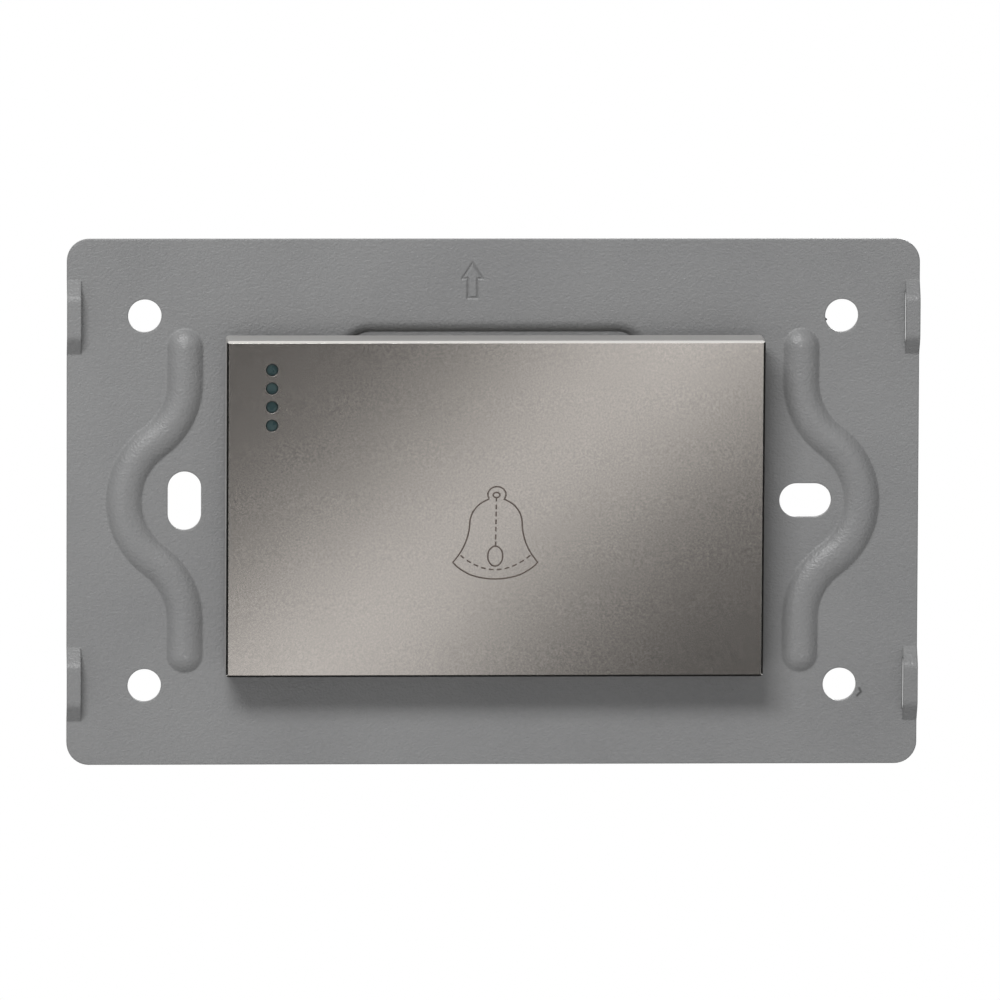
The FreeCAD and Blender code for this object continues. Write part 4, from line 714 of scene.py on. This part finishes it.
def rim_crumb(coat):
    # It hangs on the rim of the upper right corner hole
    waves_across, waves_up = CRUMB_WAVES
    lump = bmesh.new()
    bmesh.ops.create_icosphere(lump, subdivisions=3, radius=CRUMB_SIZE)
    for corner in lump.verts:
        swell = math.sin(waves_across * corner.co.x / CRUMB_SIZE)
        swell *= math.cos(waves_up * corner.co.z / CRUMB_SIZE)
        corner.co *= 1 + CRUMB_SWELL * swell
    bmesh.ops.recalc_face_normals(lump, faces=lump.faces)
    mesh = mesh_of("rim_crumb", lump, Matrix.Translation(CRUMB_PLACE) @ Matrix.Diagonal(CRUMB_STRETCH))
    mesh.materials.append(coat)
    shade_smooth(mesh)
    crumb = new_object("rim_crumb", mesh)
    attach(crumb, "base")


# Studio

def flat_sheet(name, half, cells, place, material):
    form = bmesh.new()
    bmesh.ops.create_grid(form, x_segments=cells, y_segments=cells, size=half)
    mesh = mesh_of(name, form, place)
    mesh.materials.append(material)
    return new_object(name, mesh)


def reflected_sheet(name, half, place, material):
    # A sheet of the studio that shows only where polished metal reflects it
    sheet = flat_sheet(name, half, SHEET_CELLS, place, material)
    sheet.visible_camera = False
    sheet.visible_diffuse = False
    sheet.visible_shadow = False
    sheet.visible_transmission = False


def floor():
    pale_tone = (0.80, 0.80, 0.80)
    white_tone = (0.84, 0.84, 0.84)
    material, tree, shader = new_finish("pale floor")
    tone = cloud(tree, placed(tree), size=0.3)
    set_shader(shader, rough=0.9)
    feed(tree, shader, {"Base Color": blended(tree, tone, pale_tone, white_tone)})
    sheet = flat_sheet("floor", FLOOR_HALF, FLOOR_CELLS, Matrix.Translation(FLOOR_PLACE), material)


def graded_light():
    # A bright band from low left to high right, stronger towards its ends, inside a white rim
    material = bpy.data.materials.new("graded card")
    material.use_nodes = True
    tree = material.node_tree
    tree.nodes.clear()
    from_middle = placed(tree, move=tuple(-part for part in CARD_MIDDLE))
    axes = split(tree, from_middle)
    off_band = sums(tree, "ABSOLUTE", sums(tree, "SUBTRACT", axes["Z"], axes["X"]))
    off_band = sums(tree, "MULTIPLY", off_band, DIAGONAL)
    along_band = sums(tree, "ABSOLUTE", sums(tree, "ADD", axes["Z"], axes["X"]))
    along_band = sums(tree, "MULTIPLY", along_band, DIAGONAL)
    peak = between(tree, along_band, (0.0, CARD_ENDS), CARD_PEAK, smooth=True)
    fall = between(tree, off_band, (0.0, CARD_BAND), (1.0, CARD_DARK), smooth=True)
    reach = vector_sums(tree, "LENGTH", from_middle)["Value"]
    rim = between(tree, reach, CARD_RIM, smooth=True)
    level = sums(tree, "MAXIMUM", sums(tree, "MULTIPLY", fall, peak), rim)
    glow = tree.nodes.new("ShaderNodeEmission")
    tree.links.new(level, glow.inputs["Strength"])
    out = tree.nodes.new("ShaderNodeOutputMaterial")
    tree.links.new(glow.outputs["Emission"], out.inputs["Surface"])
    return material


def reflector():
    # Graded card in front of the button, for the gradient in its metal
    place = Matrix.Translation(CARD_MIDDLE) @ Matrix.Rotation(QUARTER_TURN, 4, "X")
    reflected_sheet("graded_card", CARD_HALF, place, graded_light())


def flag(name, middle, turn_axis):
    # Black cloth beside or under the object, for the dark lines in its polished edges
    black_tone = (0.01, 0.01, 0.01)
    nap_tone = (0.02, 0.02, 0.02)
    material, tree, shader = new_finish(name + " cloth")
    nap = cloud(tree, placed(tree), size=20 * MM)
    set_shader(shader, rough=0.9, specular=0.1)
    feed(tree, shader, {"Base Color": blended(tree, nap, black_tone, nap_tone)})
    place = Matrix.Translation(middle) @ Matrix.Rotation(QUARTER_TURN, 4, turn_axis)
    reflected_sheet(name, FLAG_HALF, place, material)


def lamp(name, place, size, power):
    # A soft rectangular lamp that looks at the origin
    light = bpy.data.lights.new(name, "AREA")
    light.shape = "RECTANGLE"
    light.size, light.size_y = size
    light.energy = power
    holder = new_object(name, light)
    holder.location = place
    holder.rotation_euler = (-Vector(place)).to_track_quat("-Z", "Y").to_euler()


def background(tree, level):
    node = tree.nodes.new("ShaderNodeBackground")
    node.inputs["Color"].default_value = (1, 1, 1, 1)
    node.inputs["Strength"].default_value = level
    return node.outputs["Background"]


def studio_world():
    # Dim light from all round, which is plain white where it is looked at, reflected or seen through
    world = bpy.data.worlds.new("studio")
    bpy.context.scene.world = world
    world.use_nodes = True
    tree = world.node_tree
    tree.nodes.clear()
    path = tree.nodes.new("ShaderNodeLightPath")
    seen = sums(tree, "MAXIMUM", path.outputs["Is Camera Ray"], path.outputs["Is Glossy Ray"])
    seen = sums(tree, "MAXIMUM", seen, path.outputs["Is Transmission Ray"])
    mix = tree.nodes.new("ShaderNodeMixShader")
    for socket, value in zip(mix.inputs, (seen, background(tree, ROOM_LEVEL), background(tree, WHITE_LEVEL))):
        tree.links.new(value, socket)
    out = tree.nodes.new("ShaderNodeOutputWorld")
    tree.links.new(mix.outputs["Shader"], out.inputs["Surface"])


def camera():
    level_share = math.cos(CAMERA_RISE)
    away = Vector((
        math.sin(CAMERA_TURN) * level_share,
        -math.cos(CAMERA_TURN) * level_share,
        math.sin(CAMERA_RISE),
    ))
    data = bpy.data.cameras.new("camera")
    data.sensor_width = SENSOR_WIDTH
    data.lens = SENSOR_WIDTH * CAMERA_DISTANCE / VIEW_WIDTH
    data.clip_start = NEAREST_SEEN
    holder = new_object("camera", data)
    holder.location = Vector(CAMERA_AIM) + CAMERA_DISTANCE * away
    turned = (-away).to_track_quat("-Z", "Y") @ Quaternion((0, 0, 1), CAMERA_ROLL)
    holder.rotation_euler = turned.to_euler()
    bpy.context.scene.camera = holder


# The object

def paint(nodes, material):
    for name in nodes:
        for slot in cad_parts[name].material_slots:
            slot.material = material


def paint_mouldings():
    paint(["rocker_carrier"], moulded("light grey carrier moulding", CARRIER_TONES))
    paint(["front_frame"], moulded("light grey frame moulding", FRAME_TONES))
    paint(["base_housing"], moulded("light grey housing moulding", HOUSING_TONES))
    paint(["plunger"], moulded("natural white plunger moulding", PLUNGER_TONES, rough=0.32))


def paint_springs_and_screws():
    paint(
        ["return_spring_left", "return_spring_right", "plunger_spring"],
        worked_metal("drawn spring wire", SPRING_TONES, rough=0.24, grain=0.2 * MM),
    )
    paint(
        [
            "frame_screw_upper_left", "frame_screw_lower_left",
            "frame_screw_upper_right", "frame_screw_lower_right",
        ],
        threaded_zinc("zinc plated frame screw", FRAME_PITCH, FRAME_SHANK),
    )
    paint(
        ["line_clamp_screw", "bell_clamp_screw"],
        threaded_zinc("zinc plated clamp screw", CLAMP_PITCH, CLAMP_SHANK),
    )


def paint_current_path():
    paint(
        ["line_terminal", "bell_terminal", "line_clamp", "bell_clamp"],
        worked_metal("pressed brass", BRASS_TONES, rough=0.3, streak=(1, 1, 0.15)),
    )
    paint(
        ["contact_blade"],
        worked_metal("spring copper alloy", COPPER_TONES, rough=0.28, streak=(1, 1, 0.12)),
    )
    paint(["fixed_contact", "moving_contact"], worked_metal("silver contact", SILVER_TONES, rough=0.22))


def paint_indicator():
    paint(["indicator_board"], board_lacquer())
    paint(["indicator_lamp"], lamp_lens())
    paint(["indicator_resistor"], resistor_lacquer())
    paint(["indicator_lead_line"], soft_coat("brown lead sleeve", LINE_LEAD_TONES))
    paint(["indicator_lead_bell"], soft_coat("black lead sleeve", BELL_LEAD_TONES))


paint(["mounting_plate"], plate_paint())
paint(["rocker_cap"], button_metal())
paint(["light_guide"], smoked_guide())
paint_mouldings()
paint_springs_and_screws()
paint_current_path()
paint_indicator()
bell(bell_ink())
rim_crumb(soft_coat("dark paint crumb", CRUMB_TONES))

bpy.context.scene.view_settings.view_transform = "Standard"
studio_world()
floor()
reflector()
flag("left_flag", LEFT_FLAG, "Y")
flag("right_flag", RIGHT_FLAG, "Y")
flag("low_flag", LOW_FLAG, "Z")
lamp("key", KEY_PLACE, KEY_SIZE, KEY_POWER)
lamp("back_fill", FILL_PLACE, FILL_SIZE, FILL_POWER)
camera()
